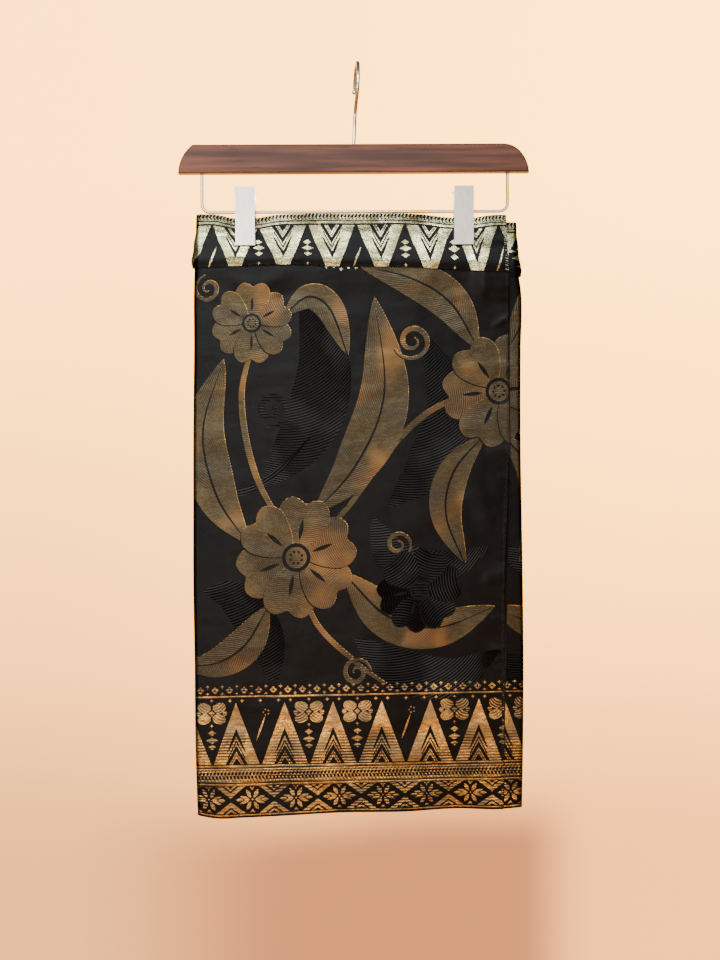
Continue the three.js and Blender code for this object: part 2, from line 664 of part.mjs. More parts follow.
// Hidden turns: one rounded solid whose top and bottom edges show the layers
function innerGeometry() {
  const clear = FLAP_Y - SHEET / 2 - GAP;
  const turnInClear = clear - PITCH;
  const topClear = (z) => THREE.MathUtils.lerp(turnInClear, clear, smooth(-173, -175, z));
  const stepX = (z) => along(OUTLINE, "z", "flap", z) - UNDER_REACH - 1;
  const depthAt = (z) => topClear(z) + waistSwell(z);
  const leftX = (z) => along(OUTLINE, "z", "left", z) + FLAP_Y + SHEET / 2 + waistSwell(z);
  const rightX = (z) => along(OUTLINE, "z", "right", z) - (BACK_Y + UNDER_Y) / 2 - SHEET / 2 - waistSwell(z);
  const columns = [
    { x: (z) => leftX(z) - 0.9, shrink: 0.55, step: 0 },
    { x: (z) => leftX(z) + 1, shrink: 1, step: 0 },
    ...CORE_COLUMNS.map((x) => ({ x: () => x, shrink: 1, step: 0 })),
    { x: (z) => stepX(z) - 34, shrink: 1, step: 0 },
    { x: (z) => stepX(z) - 1, shrink: 1, step: 0 },
    { x: (z) => stepX(z) + 0.5, shrink: 1, step: 1 },
    { x: (z) => rightX(z) - 1, shrink: 1, step: 1 },
    { x: (z) => rightX(z) + 0.3, shrink: 0.5, step: 1 },
  ];
  const rings = columns.map(({ x, shrink, step }) => {
    const underDrop = step * (FLAP_TOP_Z - UNDER_TOP_Z + 1.6);
    const front = (z) => -shrink * (depthAt(z) - step * PITCH);
    const back = (z) => shrink * depthAt(z);
    const topZ = along(TOP_EDGE, "x", "z", x(-160)) - 2.6 - underDrop;
    const lowZ = hemZ(x(-740)) + 1.4;
    const lowest = topZ - GROOVE_DEPTH - 1;
    const ring = CORE_ROWS.map((z) => new THREE.Vector3(x(z), front(z), Math.min(z, lowest)));
    ring.push(...layerEdge(x(-740), front(-740), back(-740), lowZ, 1));
    const upward = [...CORE_ROWS].reverse();
    ring.push(...upward.map((z) => new THREE.Vector3(x(z), back(z), Math.min(z, lowest))));
    ring.push(...layerEdge(x(-160), back(-160), front(-160), topZ, -1));
    return ring;
  });
  return ringsGeometry(rings);
}

// The edges of the hidden layers, with a groove between each two, from one face to the other
function layerEdge(x, fromY, toY, z, up) {
  const points = [];
  const thick = (1 - (HIDDEN_LAYERS - 1) * GROOVE_SHARE) / HIDDEN_LAYERS;
  for (let i = 0; i < HIDDEN_LAYERS; i++) {
    const start = i * (thick + GROOVE_SHARE);
    const end = start + thick;
    const uneven = up * LAYER_STEP * ((i * 2) % 3);
    const at = (share, rise) => new THREE.Vector3(x, THREE.MathUtils.lerp(fromY, toY, share), z + rise);
    if (i > 0) points.push(at(start, up * GROOVE_DEPTH));
    points.push(at(start, uneven), at(end, uneven));
    if (i < HIDDEN_LAYERS - 1) points.push(at(end, up * GROOVE_DEPTH));
  }
  return points;
}

function clothMeshes() {
  const flapBody = bodyWall(FLAP_STATIONS, flapPoint, flapRows(), 0);
  const flapBand = bandWall(FLAP_STATIONS, flapPoint, FLAP_TOP_Z, FLAP_TUCK_Z, FLAP_TURN_IN);
  const backBody = bodyWall(BACK_STATIONS, backPoint, BODY_ROWS, BACK_HEM_LIFT);
  const backBand = bandWall(BACK_STATIONS, backPoint, FLAP_TOP_Z, FLAP_TUCK_Z, FLAP_TURN_IN);
  const underBody = bodyWall(UNDER_STATIONS, underPoint, BODY_ROWS, UNDER_HEM_LIFT);
  const underBand = bandWall(UNDER_STATIONS, underPoint, UNDER_TOP_Z, UNDER_TUCK_Z, UNDER_TURN_IN);
  return [
    named("flap_body", flapBody, COLOURS.cloth, 0.5, 0),
    named("flap_band", flapBand, COLOURS.band, 0.4, 0.3),
    named("back_body", backBody, COLOURS.cloth, 0.5, 0),
    named("back_band", backBand, COLOURS.band, 0.4, 0.3),
    named("under_body", underBody, COLOURS.cloth, 0.5, 0),
    named("under_band", underBand, COLOURS.band, 0.4, 0.3),
    named("inner_layers", innerGeometry(), COLOURS.layers, 0.6, 0),
  ];
}

// The bar, its wire frame and the clips hang a little out of level, about the hook's bore
const hanger = new THREE.Group();
hanger.position.set(BAR_X, 0, BAR_TOP_Z);
hanger.rotation.y = -HANG_TILT;
hanger.add(barMesh(), frameMesh());
hanger.add(clipGroup("clip_left", CLIP_LEFT_X), clipGroup("clip_right", CLIP_RIGHT_X));

const sampin = new THREE.Group();
sampin.add(hookMesh(), hanger, ...clothMeshes());

export default sampin;
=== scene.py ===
"""A sampin of songket brocade, folded flat and hung by its waist from a wooden clip hanger.

Sizes are in millimetres until a mesh is made; the frame itself is in metres.
"""
import math

import bpy
import numpy as np
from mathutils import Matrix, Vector
from mathutils.geometry import delaunay_2d_cdt


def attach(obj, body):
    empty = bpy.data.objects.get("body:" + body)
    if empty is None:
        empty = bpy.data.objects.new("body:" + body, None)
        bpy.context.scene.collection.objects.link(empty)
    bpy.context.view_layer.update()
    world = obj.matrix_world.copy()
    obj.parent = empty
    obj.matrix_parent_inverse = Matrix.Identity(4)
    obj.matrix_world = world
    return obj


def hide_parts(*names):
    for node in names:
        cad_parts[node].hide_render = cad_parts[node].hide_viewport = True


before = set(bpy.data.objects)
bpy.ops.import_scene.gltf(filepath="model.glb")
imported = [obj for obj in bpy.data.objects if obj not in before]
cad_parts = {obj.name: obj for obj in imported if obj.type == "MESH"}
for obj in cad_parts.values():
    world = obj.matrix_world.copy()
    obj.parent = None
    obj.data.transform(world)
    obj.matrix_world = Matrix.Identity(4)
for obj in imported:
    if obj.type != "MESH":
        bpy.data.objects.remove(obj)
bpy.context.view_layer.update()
MM = 0.001

# Camera: the photo's frame, one millimetre to a pixel in the hanger's plane
CAMERA_X = 3
CAMERA_Z = -415
CAMERA_DISTANCE = 1600
FRAME_HEIGHT = 960
SENSOR = 36

# The folded cloth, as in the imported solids
THICK = 0.6
FLAP_Y = 3.7
BACK_Y = 3.7
UNDER_Y = 2.4
HALF_SHEET = 0.5
PITCH = 1.3
TUCK_TOP_Z = -184.5
FLAP_TOP_Z = -148.7
FLAP_TUCK_Z = -204
UNDER_TOP_Z = -155.3
UNDER_TUCK_Z = -208.2
WAIST_SWELL = 1.5
FLAP_LIFT = 3.2
FLAP_TOP_LIFT = 1.5
FLAP_SECTION = (FLAP_TOP_Z, FLAP_TUCK_Z, 21)
UNDER_SECTION = (UNDER_TOP_Z, UNDER_TUCK_Z, 14)
HEM_LEVEL = -748
HEM_TILT_LEVEL = -746.7
HEM_TILT = 0.0192

OUTLINE = np.array([
    # z, then x of the left fold, the right fold and the flap's free edge
    (-148, -160.9, 159.4, 148.4),
    (-180, -161.8, 160.4, 149.2),
    (-204, -162.7, 161.2, 150.2),
    (-225, -163.3, 164.2, 151.2),
    (-285, -163.2, 164.0, 151.4),
    (-335, -163.7, 163.8, 151.6),
    (-385, -164.0, 164.0, 152.3),
    (-435, -164.0, 164.8, 149.0),
    (-522, -163.9, 166.2, 147.4),
    (-595, -162.6, 166.8, 146.8),
    (-678, -161.8, 166.4, 146.4),
    (-755, -159.3, 165.0, 146.0),
])
LEFT, RIGHT, FLAP = 1, 2, 3

TOP_EDGE = np.array([
    # x, z
    (-162, -149.6), (-140, -149.7), (-124, -153.0), (-100, -153.0), (-80, -149.8), (-58, -148.9),
    (0, -148.7), (60, -148.9), (94, -152.6), (118, -152.6), (135, -150.6), (170, -151.0),
])
TUCK_EDGE = np.array([
    # x, how far the tuck's fold lies above its level
    (-165, 0.0), (-122, 1.4), (-70, 3.0), (-20, 1.4), (60, 0.2), (105, -2.4), (151, -3.8), (170, -4.0),
])
HEM = np.array([
    # x, z
    (-162, -749.0), (-143, -752.4), (-109, -751.6), (-68, -749.6), (-20, -746.8), (51, -745.6),
    (96, -742.6), (147, -743.2), (168, -741.2),
])
PUCKERS = [
    # z, tall, reach, height, slant: where the flap's free edge gathers
    (-233, 10, 22, 1.1, 0.1),
    (-253, 11, 20, 1.3, -0.5),
    (-265, 5, 16, 0.6, 0.2),
    (-276, 8, 13, 0.8, 0.0),
    (-341, 12, 10, 0.7, 0.2),
    (-385, 20, 26, 1.5, 0.15),
    (-411, 8, 12, 0.8, 0.0),
    (-507, 24, 24, 1.2, -0.3),
    (-553, 13, 14, 0.9, 0.1),
    (-583, 12, 16, 1.0, 0.0),
    (-594, 6, 12, 0.6, 0.1),
    (-602, 8, 13, 0.8, 0.1),
    (-611, 6, 11, 0.6, -0.1),
]
SWELLS = [
    # x, z, wide, tall, height, turn: broad soft rises, also in the solids
    (-104, -218, 34, 12, 0.7, 0.25),
    (-40, -330, 26, 150, 0.8, 0.12),
    (62, -420, 30, 170, 0.7, -0.1),
    (-120, -520, 24, 150, 0.8, 0.06),
    (12, -610, 34, 120, 0.7, 0.16),
]
CREASES = [
    # x, z, wide, tall, height, turn: soft troughs and ridges too small for the solids
    (-118, -216, 5, 26, 0.85, 1.15),
    (-88, -219, 5, 30, 1.1, -1.2),
    (-70, -230, 5, 26, -0.8, -1.05),
    (-128, -240, 6, 40, 0.7, 0.9),
    (-66, -414, 8, 44, 0.9, 0.75),
    (-96, -470, 8, 60, -0.4, 0.5),
    (40, -240, 9, 60, 0.35, 1.25),
    (110, -300, 8, 56, -0.35, 0.7),
    (128, -452, 9, 70, 0.45, 0.4),
    (100, -560, 10, 80, -0.4, 0.9),
    (-20, -520, 12, 90, 0.35, 1.0),
    (60, -650, 12, 80, 0.4, 1.3),
    (-100, -660, 12, 70, -0.4, 1.2),
    (-40, -715, 8, 60, 0.5, 1.45),
    (70, -722, 8, 70, 0.5, 1.5),
]
WAVES = [
    # turn along x, turn along z, height
    (0.11, 0.021, 0.12), (0.047, 0.083, 0.15), (0.19, 0.06, 0.07), (0.03, 0.17, 0.07), (0.26, 0.21, 0.04),
]

# Soft ramps, each from where it starts to where it is full
SWELL_BELOW_Z = (-176, -188)
SWELL_ABOVE_Z = (-238, -206)
LIFT_BELOW_Z = (-174, -186)
LIFT_ABOVE_Z = (-240, -219)
LIFT_X = (112, 128)
TOP_DIPS_Z = (-178, -160)
TUCK_DIPS_Z = (-180, -196)
TILT_Z = (-330, -610)
HEM_DIPS_Z = (-700, -748)
CREASED_Z = (-206, -214)
OFF_FOLD_X = (-156, -140)
SWELLING_X = (-150, -130)
BACK_RIPPLE_X = (156, 130)
BACK_SWELL_X = (150, 120)

# Cloth coordinates: s runs from the flap's free edge round the roll, v down from the waist's top fold
FRONT = 310
LEFT_ARC = 12.2
BACK = 318
RIGHT_ARC = 9.6
UNDER_FRONT = 34
SEAM = 24
TINY = 0.05
LEFT_END = FRONT + LEFT_ARC
RIGHT_START = LEFT_END + BACK
RIGHT_END = RIGHT_START + RIGHT_ARC
CLOTH_END = RIGHT_END + UNDER_FRONT
WOVEN_START = -10
WOVEN_END = CLOTH_END + 10
BODY_V = 76
BODY_TALL = TUCK_TOP_Z - HEM_LEVEL
HEM_V = BODY_V + BODY_TALL


def smooth(start, end, at):
    share = np.clip((at - start) / (end - start), 0, 1)
    return share * share * (3 - 2 * share)


def table(rows, column, at):
    """A soft curve through a table's column, read at its first column."""
    order = np.argsort(rows[:, 0])
    xs = rows[order, 0]
    ys = rows[order, column]
    slopes = np.gradient(ys, xs)
    at = np.clip(at, xs[0], xs[-1])
    i = np.clip(np.searchsorted(xs, at) - 1, 0, len(xs) - 2)
    gap = xs[i + 1] - xs[i]
    t = (at - xs[i]) / gap
    rise = ys[i + 1] - ys[i]
    level = ys[i] + rise * t
    pull_in = slopes[i] * gap - rise
    pull_out = slopes[i + 1] * gap - rise
    return level + t * (1 - t) * ((1 - t) * pull_in - t * pull_out)


def waist_swell(z):
    return WAIST_SWELL * smooth(*SWELL_BELOW_Z, z) * smooth(*SWELL_ABOVE_Z, z)


def flap_lift(x, z):
    over_top = FLAP_TOP_LIFT + (FLAP_LIFT - FLAP_TOP_LIFT) * smooth(*LIFT_BELOW_Z, z)
    return over_top * smooth(*LIFT_X, x) * smooth(*LIFT_ABOVE_Z, z)


def pucker(x, z):
    total = np.zeros_like(x)
    inward = table(OUTLINE, FLAP, z) - x
    for row_z, tall, reach, height, slant in PUCKERS:
        share = np.clip(1 - inward / reach, 0, 1)
        off = (z - row_z - slant * inward) / (tall / 2)
        hump = np.where(np.abs(off) < 1, np.cos(np.clip(off, -1, 1) * math.pi / 2) ** 2, 0)
        total += height * hump * share ** 0.7 * smooth(0, 0.25, share)
    return total


def humps(rows, x, z):
    total = np.zeros_like(x)
    for row_x, row_z, wide, tall, height, turn in rows:
        across = (x - row_x) * math.cos(turn) + (z - row_z) * math.sin(turn)
        down = (z - row_z) * math.cos(turn) - (x - row_x) * math.sin(turn)
        total += height * np.exp(-(across / wide) ** 2 - (down / (tall / 2)) ** 2)
    return total


def ripple(x, z, shift):
    """The brocade's slight unevenness: waves of several lengths, each under a fifth of a millimetre."""
    total = np.zeros_like(x)
    for i, (kx, kz, size) in enumerate(WAVES):
        crossing = np.cos(0.6 * kz * x - 0.7 * kx * z + 2.3 * i)
        total += size * np.sin(kx * x + kz * z + shift + 1.7 * i) * crossing
    return total


def waist_drop(x, z):
    top = (table(TOP_EDGE, 1, x) - FLAP_TOP_Z) * smooth(*TOP_DIPS_Z, z)
    return top + table(TUCK_EDGE, 1, x) * smooth(*TUCK_DIPS_Z, z)


def hem_drop(x, z):
    """How far a weft line lies off its level: a slight tilt, and the hem's own dips at the very bottom."""
    tilt = HEM_TILT_LEVEL + HEM_TILT * x
    dips = (table(HEM, 1, x) - tilt) * smooth(*HEM_DIPS_Z, z)
    return (tilt - HEM_LEVEL) * smooth(*TILT_Z, z) + dips


def left_plan(z):
    radius = FLAP_Y + waist_swell(z)
    return radius, table(OUTLINE, LEFT, z) + radius + HALF_SHEET


def right_plan(z):
    radius = (BACK_Y + UNDER_Y) / 2 + waist_swell(z)
    return radius, table(OUTLINE, RIGHT, z) - radius - HALF_SHEET


def roll_x(s, z, offset):
    """Where round the roll a point lies: x, the turn of its layer, and which stretch it is in."""
    left_r, left_x = left_plan(z)
    right_r, right_x = right_plan(z)
    edge_x = table(OUTLINE, FLAP, z)
    left_turn = np.clip((s - FRONT) / LEFT_ARC, 0, 1) * math.pi
    right_turn = np.clip((s - RIGHT_START) / RIGHT_ARC, 0, 1) * math.pi
    front_x = edge_x + (left_x - edge_x) * np.clip(s / FRONT, 0, 1)
    back_x = left_x + (right_x - left_x) * np.clip((s - LEFT_END) / BACK, 0, 1)
    under_x = right_x - np.clip(s - RIGHT_END, 0, None)
    x = np.where(s <= FRONT, front_x, left_x - (left_r + offset) * np.sin(left_turn))
    x = np.where(s > LEFT_END, back_x, x)
    x = np.where(s > RIGHT_START, right_x + (right_r + offset) * np.sin(right_turn), x)
    return np.where(s > RIGHT_END, under_x, x), left_turn, right_turn


def roll_point(s, z, offset, band):
    """A point of the cloth, offset outwards from the middle of its layer."""
    x, _, _ = roll_x(s, z, offset)
    level = z + (waist_drop(x, z) if band else hem_drop(x, z))
    x, left_turn, right_turn = roll_x(s, level, offset)
    left_r, _ = left_plan(level)
    right_r, _ = right_plan(level)
    shade = 0.4 if band else 1
    off_fold = smooth(*OFF_FOLD_X, x)
    front = flap_lift(x, level) + shade * (ripple(x, level, 0) + 0.2) * off_fold
    back = shade * (ripple(x, level, 2) + 0.3) * smooth(*BACK_RIPPLE_X, np.abs(x))
    if not band:
        front = front + pucker(x, level) + humps(SWELLS, x, level) * smooth(*SWELLING_X, x)
        front = front + humps(CREASES, x, level) * off_fold * smooth(*CREASED_Z, level)
        inside = smooth(*BACK_SWELL_X, np.abs(x))
        back = back + (humps(SWELLS, -x, level) + 0.7 * humps(CREASES, -x, level)) * inside
    left_y = -(left_r + offset) * np.cos(left_turn) - np.where(s <= FRONT, front, 0)
    y = np.where(s > LEFT_END, BACK_Y + waist_swell(level) + offset + back, left_y)
    middle = (BACK_Y - UNDER_Y) / 2
    y = np.where(s > RIGHT_START, middle + (right_r + offset) * np.cos(right_turn), y)
    return np.stack([x, y, level], axis=-1)


def body_surface(s, v):
    return roll_point(s, TUCK_TOP_Z - (v - BODY_V), np.zeros_like(s), False)


def arc(middle, radius_d, radius_z, start, end, steps):
    turns = [math.radians(start + (end - start) * i / steps) for i in range(steps + 1)]
    return [(middle[0] + radius_d * math.cos(a), middle[1] + radius_z * math.sin(a)) for a in turns]


TUCK_SECTION = np.array([
    # height above the tuck's fold, outward
    (0, 3.1), (2.2, 3.95), (4.2, 4.6), (6, 5.05), (8, 5.2), (10.5, 4.95), (31.5, 0.75), (34.5, 0.2), (37, 0),
])
TUCK_ROUND = 2.2


def band_path(top_z, tuck_z, turn_in):
    """The waist tuck's section from the turned-in edge: over the top, down the front, round and back up."""
    points = [(-PITCH, top_z - turn_in), (-PITCH, top_z - turn_in / 2)]
    points += arc((-PITCH / 2, top_z - 1.2), PITCH / 2, 0.7, 180, 0, 8)
    points.append((0, top_z - 5))
    for height in np.linspace(TUCK_SECTION[-1, 0], TUCK_ROUND, 30):
        outward = np.interp(height, TUCK_SECTION[:, 0], TUCK_SECTION[:, 1])
        points.append((outward - waist_swell(tuck_z + height), tuck_z + height))
    points += arc((PITCH + 0.6, tuck_z + TUCK_ROUND), 0.55, 1.9, 0, -180, 12)
    points += [(PITCH, tuck_z + 8), (PITCH, (tuck_z + TUCK_TOP_Z) / 2), (PITCH, TUCK_TOP_Z - 0.3)]
    return np.array(points)


def run_along(points):
    """How far along a line each of its points lies."""
    return np.concatenate([[0], np.cumsum(np.hypot(*np.diff(points, axis=0).T))])


def band_surface(path):
    run = run_along(path)
    top = run[np.argmax(path[:, 1])]

    def surface(s, v):
        offset = np.interp(v + top, run, path[:, 0])
        z = np.interp(v + top, run, path[:, 1])
        return roll_point(s, z, offset, True)

    return surface, -top, run[-1] - top


# Motifs: each is an outline in cloth coordinates, a thread, and the way its ribs run

# The last thread is the black of cut edges, hidden turns and rope dashes, and also of painted shade lines
GROUND, GOLD, TONAL, WAIST_GOLD, BORDER_GOLD, SHOOT_GOLD, EDGE_AND_PAINTED_SHADE = range(7)


def outline_area(points):
    """Area inside an outline, in square millimetres; counter-clockwise is positive."""
    points = np.asarray(points)
    after = np.roll(points, -1, axis=0)
    return np.sum(points[:, 0] * after[:, 1] - points[:, 1] * after[:, 0]) / 2


class Motifs:
    """The outlines woven into a stretch of cloth; a later one lies over the earlier ones."""

    def __init__(self):
        self.rows = []

    def add(self, points, thread, turn=0.0, bend=0.0, middle=None):
        points = np.asarray(points, float)
        middle = points.mean(axis=0) if middle is None else np.asarray(middle, float)
        if outline_area(points) < 0:
            points = points[::-1]
        self.rows.append((points, thread, turn, bend, middle))

    def ease(self, along):
        """Shifts every figure along the cloth, where the real pattern runs tighter or looser."""
        for row in self.rows:
            row[0][:, 0] = along(row[0][:, 0])


def polygon(middle, offsets, flip=1):
    return [(middle[0] + a, middle[1] + flip * b) for a, b in offsets]


def lens(start, end, width, steps=5):
    """A pointed oval from one point to another."""
    start, end = np.array(start, float), np.array(end, float)
    along = end - start
    across = np.array([-along[1], along[0]]) / np.hypot(*along)
    shares = np.linspace(0, 1, steps + 1)
    left = [start + along * t + across * width / 2 * math.sin(math.pi * t) for t in shares]
    right = [start + along * t - across * width / 2 * math.sin(math.pi * t) for t in shares[1:-1]]
    return left + right[::-1]


def oval(middle, a, b, turn=0.0, steps=14):
    c, s = math.cos(turn), math.sin(turn)
    angles = [2 * math.pi * i / steps for i in range(steps)]
    corners = [(a * math.cos(angle), b * math.sin(angle)) for angle in angles]
    return polygon(middle, [(x * c - y * s, x * s + y * c) for x, y in corners])


def around(middle, radius, angle):
    return (middle[0] + radius * math.cos(angle), middle[1] + radius * math.sin(angle))


def diamond(middle, a, b):
    return polygon(middle, [(a, 0), (0, b), (-a, 0), (0, -b)])


def plus(middle, size):
    k = size * 0.3
    return polygon(middle, [(size, 0), (k, k), (0, size), (-k, k), (-size, 0), (-k, -k), (0, -size), (k, -k)])


# The borders, measured from the base of their triangles; flip is 1 with apexes up the cloth, -1 down

TRIANGLE_PITCH = 49.3
TRIANGLE_PHASE = 25.5
TRIANGLE_HALF = 23.3
TRIANGLE_TALL = 61.2
ROW_PITCH = TRIANGLE_PITCH / 3.333
ROPE_PITCH = 3.65
FLOWER_PITCH = 44.6
FLOWER_PHASE = 34
FLOWER_RISE = 16.9
TOP_BASE_V = 11.8
BORDER_BASE = 50.4
STAR_RISE = 63.4
SPINDLE_RISE = 40
STACK_RISE = 24
CHEVRONS = [
    # dark outlines let into a triangle, from its base
    [(0, -36), (9.9, -11), (7.3, -13.6), (0, -27.8), (-7.3, -13.6), (-9.9, -11)],
    [(0, -24.2), (9.2, -6.4), (8.1, -5.8), (0, -21.6), (-8.1, -5.8), (-9.2, -6.4)],
    [(0, -18.6), (11.3, 0), (7.5, 0), (0, -12.6), (-7.5, 0), (-11.3, 0)],
    [(0, -10.6), (6.3, 0), (5.5, 0), (0, -9.2), (-5.5, 0), (-6.3, 0)],
    [(0, -6.2), (4.2, 0), (-4.2, 0)],
]
WAIST_ROPE = [
    # low, high, lean, width, shift of each row of dashes
    (4.3, 0.8, -0.7, 2.4, 0),
    (6.0, 4.4, 0.5, 1.4, 0.2),
]
HEM_ROPE = [
    (7.2, 5.0, -0.9, 1.0, 0),
    (10.7, 7.6, -0.5, 2.3, 0.8),
    (14.3, 11.2, 0.5, 2.3, 2.4),
    (17.0, 14.8, 0.9, 1.0, 1.3),
]


def triangle(motifs, s, base_v, flip, thread):
    """A gold shoot with nested chevrons; its apex points up the cloth where flip is 1."""
    base = (s, base_v)
    outline = [(0, -TRIANGLE_TALL), (TRIANGLE_HALF, 0), (-TRIANGLE_HALF, 0)]
    motifs.add(polygon(base, outline, flip), thread, middle=base)
    for chevron in CHEVRONS:
        motifs.add(polygon(base, chevron, flip), GROUND)


def stacked_diamonds(motifs, s, v, flip, thread):
    for dv, a, b in ((-7.4, 4, 2.7), (0, 6, 3.1), (6.6, 3.8, 2.6)):
        motifs.add(diamond((s, v + flip * dv), a, b), thread)


def gap_flower(motifs, s, v, thread):
    """A four-lobed ribbed flower with a diamond at its heart."""
    for side in (-1, 1):
        for rise in (-1, 1):
            lobe = oval((s + side * 7.2, v + rise * 5.3), 7.4, 5.2, side * rise * 0.35)
            motifs.add(lobe, thread, turn=side * rise * 0.5, bend=0.05)
        motifs.add(oval((s + side * 13.4, v), 2.3, 2.5, steps=8), thread)
    for rise in (-1, 1):
        motifs.add(polygon((s, v), [(-0.7, 0), (0.7, 0), (1.6, 11), (-1.6, 11)], rise), GROUND)
        motifs.add(plus((s, v + rise * 12.6), 1.9), thread)
    motifs.add(diamond((s, v), 5.2, 4.6), GROUND)
    motifs.add(diamond((s, v), 3, 2.7), thread)


def spindle(motifs, s, v, flip, thread):
    """A slender slanted spindle with a small ring of beads at its head."""
    motifs.add(lens((s - flip * 5, v - flip * 8), (s + flip * 4.5, v + flip * 18), 1.9, 6), thread)
    for turn in range(5):
        bead = around((s - flip * 6, v - flip * 11.5), 2.8, turn * 2 * math.pi / 5)
        motifs.add(diamond(bead, 0.9, 0.9), thread)


def rope(motifs, base_v, rows):
    """Rows of slanted dark dashes over a gold strip."""
    for low, high, lean, width, shift in rows:
        dash = [(-lean, base_v + low), (width - lean, base_v + low), (width + lean, base_v + high),
                (lean, base_v + high)]
        for i in range(int((WOVEN_END - WOVEN_START) / ROPE_PITCH) + 1):
            motifs.add(polygon((WOVEN_START + shift + i * ROPE_PITCH, 0), dash), EDGE_AND_PAINTED_SHADE)


def star_flower(motifs, s, v):
    for side in (-1, 1):
        for rise in (-1, 1):
            steep = lens((s + side * 1.4, v + rise * 1.6), (s + side * 6.2, v + rise * 9.6), 4, 6)
            flat = lens((s + side * 3.2, v + rise * 0.9), (s + side * 13, v + rise * 3.4), 2.5)
            motifs.add(steep, BORDER_GOLD)
            motifs.add(flat, BORDER_GOLD)
        motifs.add(lens((s + side * 2.2, v), (s + side * 9, v), 2, 5), BORDER_GOLD)
        motifs.add(lens((s + side * 9, v), (s + side * 17, v), 3, 5), BORDER_GOLD)
    for rise in (-1, 1):
        motifs.add(polygon((s, v), [(0, 8.6), (2.8, 12.2), (0, 11.2), (-2.8, 12.2)], rise), BORDER_GOLD)
    motifs.add(diamond((s, v), 1.1, 1.1), BORDER_GOLD)


def lattice_chevrons(motifs, s, v):
    for rise in (-1, 1):
        outer = [(0, 1.7), (-15.4, 12.6), (-9.2, 12.6), (0, 6.4), (9.2, 12.6), (15.4, 12.6)]
        motifs.add(polygon((s, v), outer, rise), BORDER_GOLD)
        motifs.add(polygon((s, v), [(0, 8.2), (-6.2, 12.6), (6.2, 12.6)], rise), BORDER_GOLD)
        motifs.add(polygon((s, v), [(0, 10.4), (-3, 12.6), (3, 12.6)], rise), GROUND)


def small_row(motifs, level, thread):
    """Hollow diamonds between stacked pairs of tiny stars; level gives v along s."""
    for i in range(int((WOVEN_END - WOVEN_START) / ROW_PITCH) + 2):
        s = WOVEN_START + (i + 0.5) * ROW_PITCH
        motifs.add(diamond((s, level(s)), 3.8, 3.6), thread)
        motifs.add(diamond((s, level(s)), 1.3, 1.2), GROUND)
        pair = s + ROW_PITCH / 2
        for rise in (-1, 1):
            motifs.add(plus((pair, level(pair) + rise * 3.6), 2.2), thread)


def shoots(motifs, base_v, flip, thread, phase, spindle_at, flowers):
    """The row of triangles with what stands in the gaps; flowers gives their rise and thread."""
    first = math.floor((WOVEN_START - phase) / TRIANGLE_PITCH) - 1
    last = math.ceil((WOVEN_END - phase) / TRIANGLE_PITCH) + 1
    for k in range(first, last + 1):
        s = phase + k * TRIANGLE_PITCH
        triangle(motifs, s, base_v, flip, thread)
        gap = s + TRIANGLE_PITCH / 2
        for side in (-6, 6):
            motifs.add(plus((s + side, base_v - flip * STAR_RISE), 2), thread)
        if k % 3 == spindle_at:
            spindle(motifs, gap, base_v - flip * SPINDLE_RISE, flip, thread)
            motifs.add(plus((gap, base_v - flip * STAR_RISE), 2), thread)
        else:
            gap_flower(motifs, gap, base_v - flip * flowers[0], flowers[1])
            stacked_diamonds(motifs, gap, base_v - flip * STACK_RISE, flip, thread)


def strips(motifs, base_v, rows, thread):
    for low, high in rows:
        corners = [(WOVEN_START, low), (WOVEN_END, low), (WOVEN_END, high), (WOVEN_START, high)]
        motifs.add(polygon((0, base_v), corners), thread)


def waist_border():
    motifs = Motifs()
    strips(motifs, 0, [(-8.5, 6.9)], WAIST_GOLD)
    # painted shade: a dark strip along the waist's top fold
    strips(motifs, 0, [(-1.0, 0.9)], EDGE_AND_PAINTED_SHADE)
    rope(motifs, 0, WAIST_ROPE)
    strips(motifs, 0, [(8.2, 10.2)], WAIST_GOLD)
    shoots(motifs, TOP_BASE_V, -1, WAIST_GOLD, TRIANGLE_PHASE + 3, 2, (54, WAIST_GOLD))
    motifs.ease(lambda s: s + 4 * smooth(62, 0, s) - 2.6 * smooth(250, 312, s) * smooth(345, 320, s))
    return motifs


def hem_border(motifs):
    base = HEM_V - BORDER_BASE
    small_row(motifs, lambda s: HEM_V - 124.2, BORDER_GOLD)
    strips(motifs, HEM_V, [(-118.5, -116.8)], BORDER_GOLD)
    shoots(motifs, base, 1, SHOOT_GOLD, TRIANGLE_PHASE, 1, (51, BORDER_GOLD))
    strips(motifs, base, [(1.2, 3.2), (4.3, 17.6)], BORDER_GOLD)
    rope(motifs, base, HEM_ROPE)
    strips(motifs, base, [(18.8, 20.7)], BORDER_GOLD)
    middle = HEM_V - FLOWER_RISE
    first = int((WOVEN_START - FLOWER_PHASE) / FLOWER_PITCH) - 1
    for k in range(first, int((WOVEN_END - FLOWER_PHASE) / FLOWER_PITCH) + 2):
        s = FLOWER_PHASE + k * FLOWER_PITCH
        star_flower(motifs, s, middle)
        lattice_chevrons(motifs, s + FLOWER_PITCH / 2, middle)
    strips(motifs, HEM_V, [(-3.2, -1.9)], BORDER_GOLD)
    strips(motifs, HEM_V, [(-1.0, 3)], EDGE_AND_PAINTED_SHADE)


# The field's own flowers and leaves, a plain garden design

def spine(points, steps=12):
    """A smooth line through a few points."""
    points = np.array(points, float)
    padded = np.vstack([2 * points[0] - points[1], points, 2 * points[-1] - points[-2]])
    line = []
    for a, b, c, d in zip(padded, padded[1:], padded[2:], padded[3:]):
        for t in np.linspace(0, 1, steps, endpoint=False):
            bend = (2 * a - 5 * b + 4 * c - d) * t ** 2 + (3 * b - a - 3 * c + d) * t ** 3
            line.append(0.5 * (2 * b + (c - a) * t + bend))
    return np.array(line + [points[-1]])


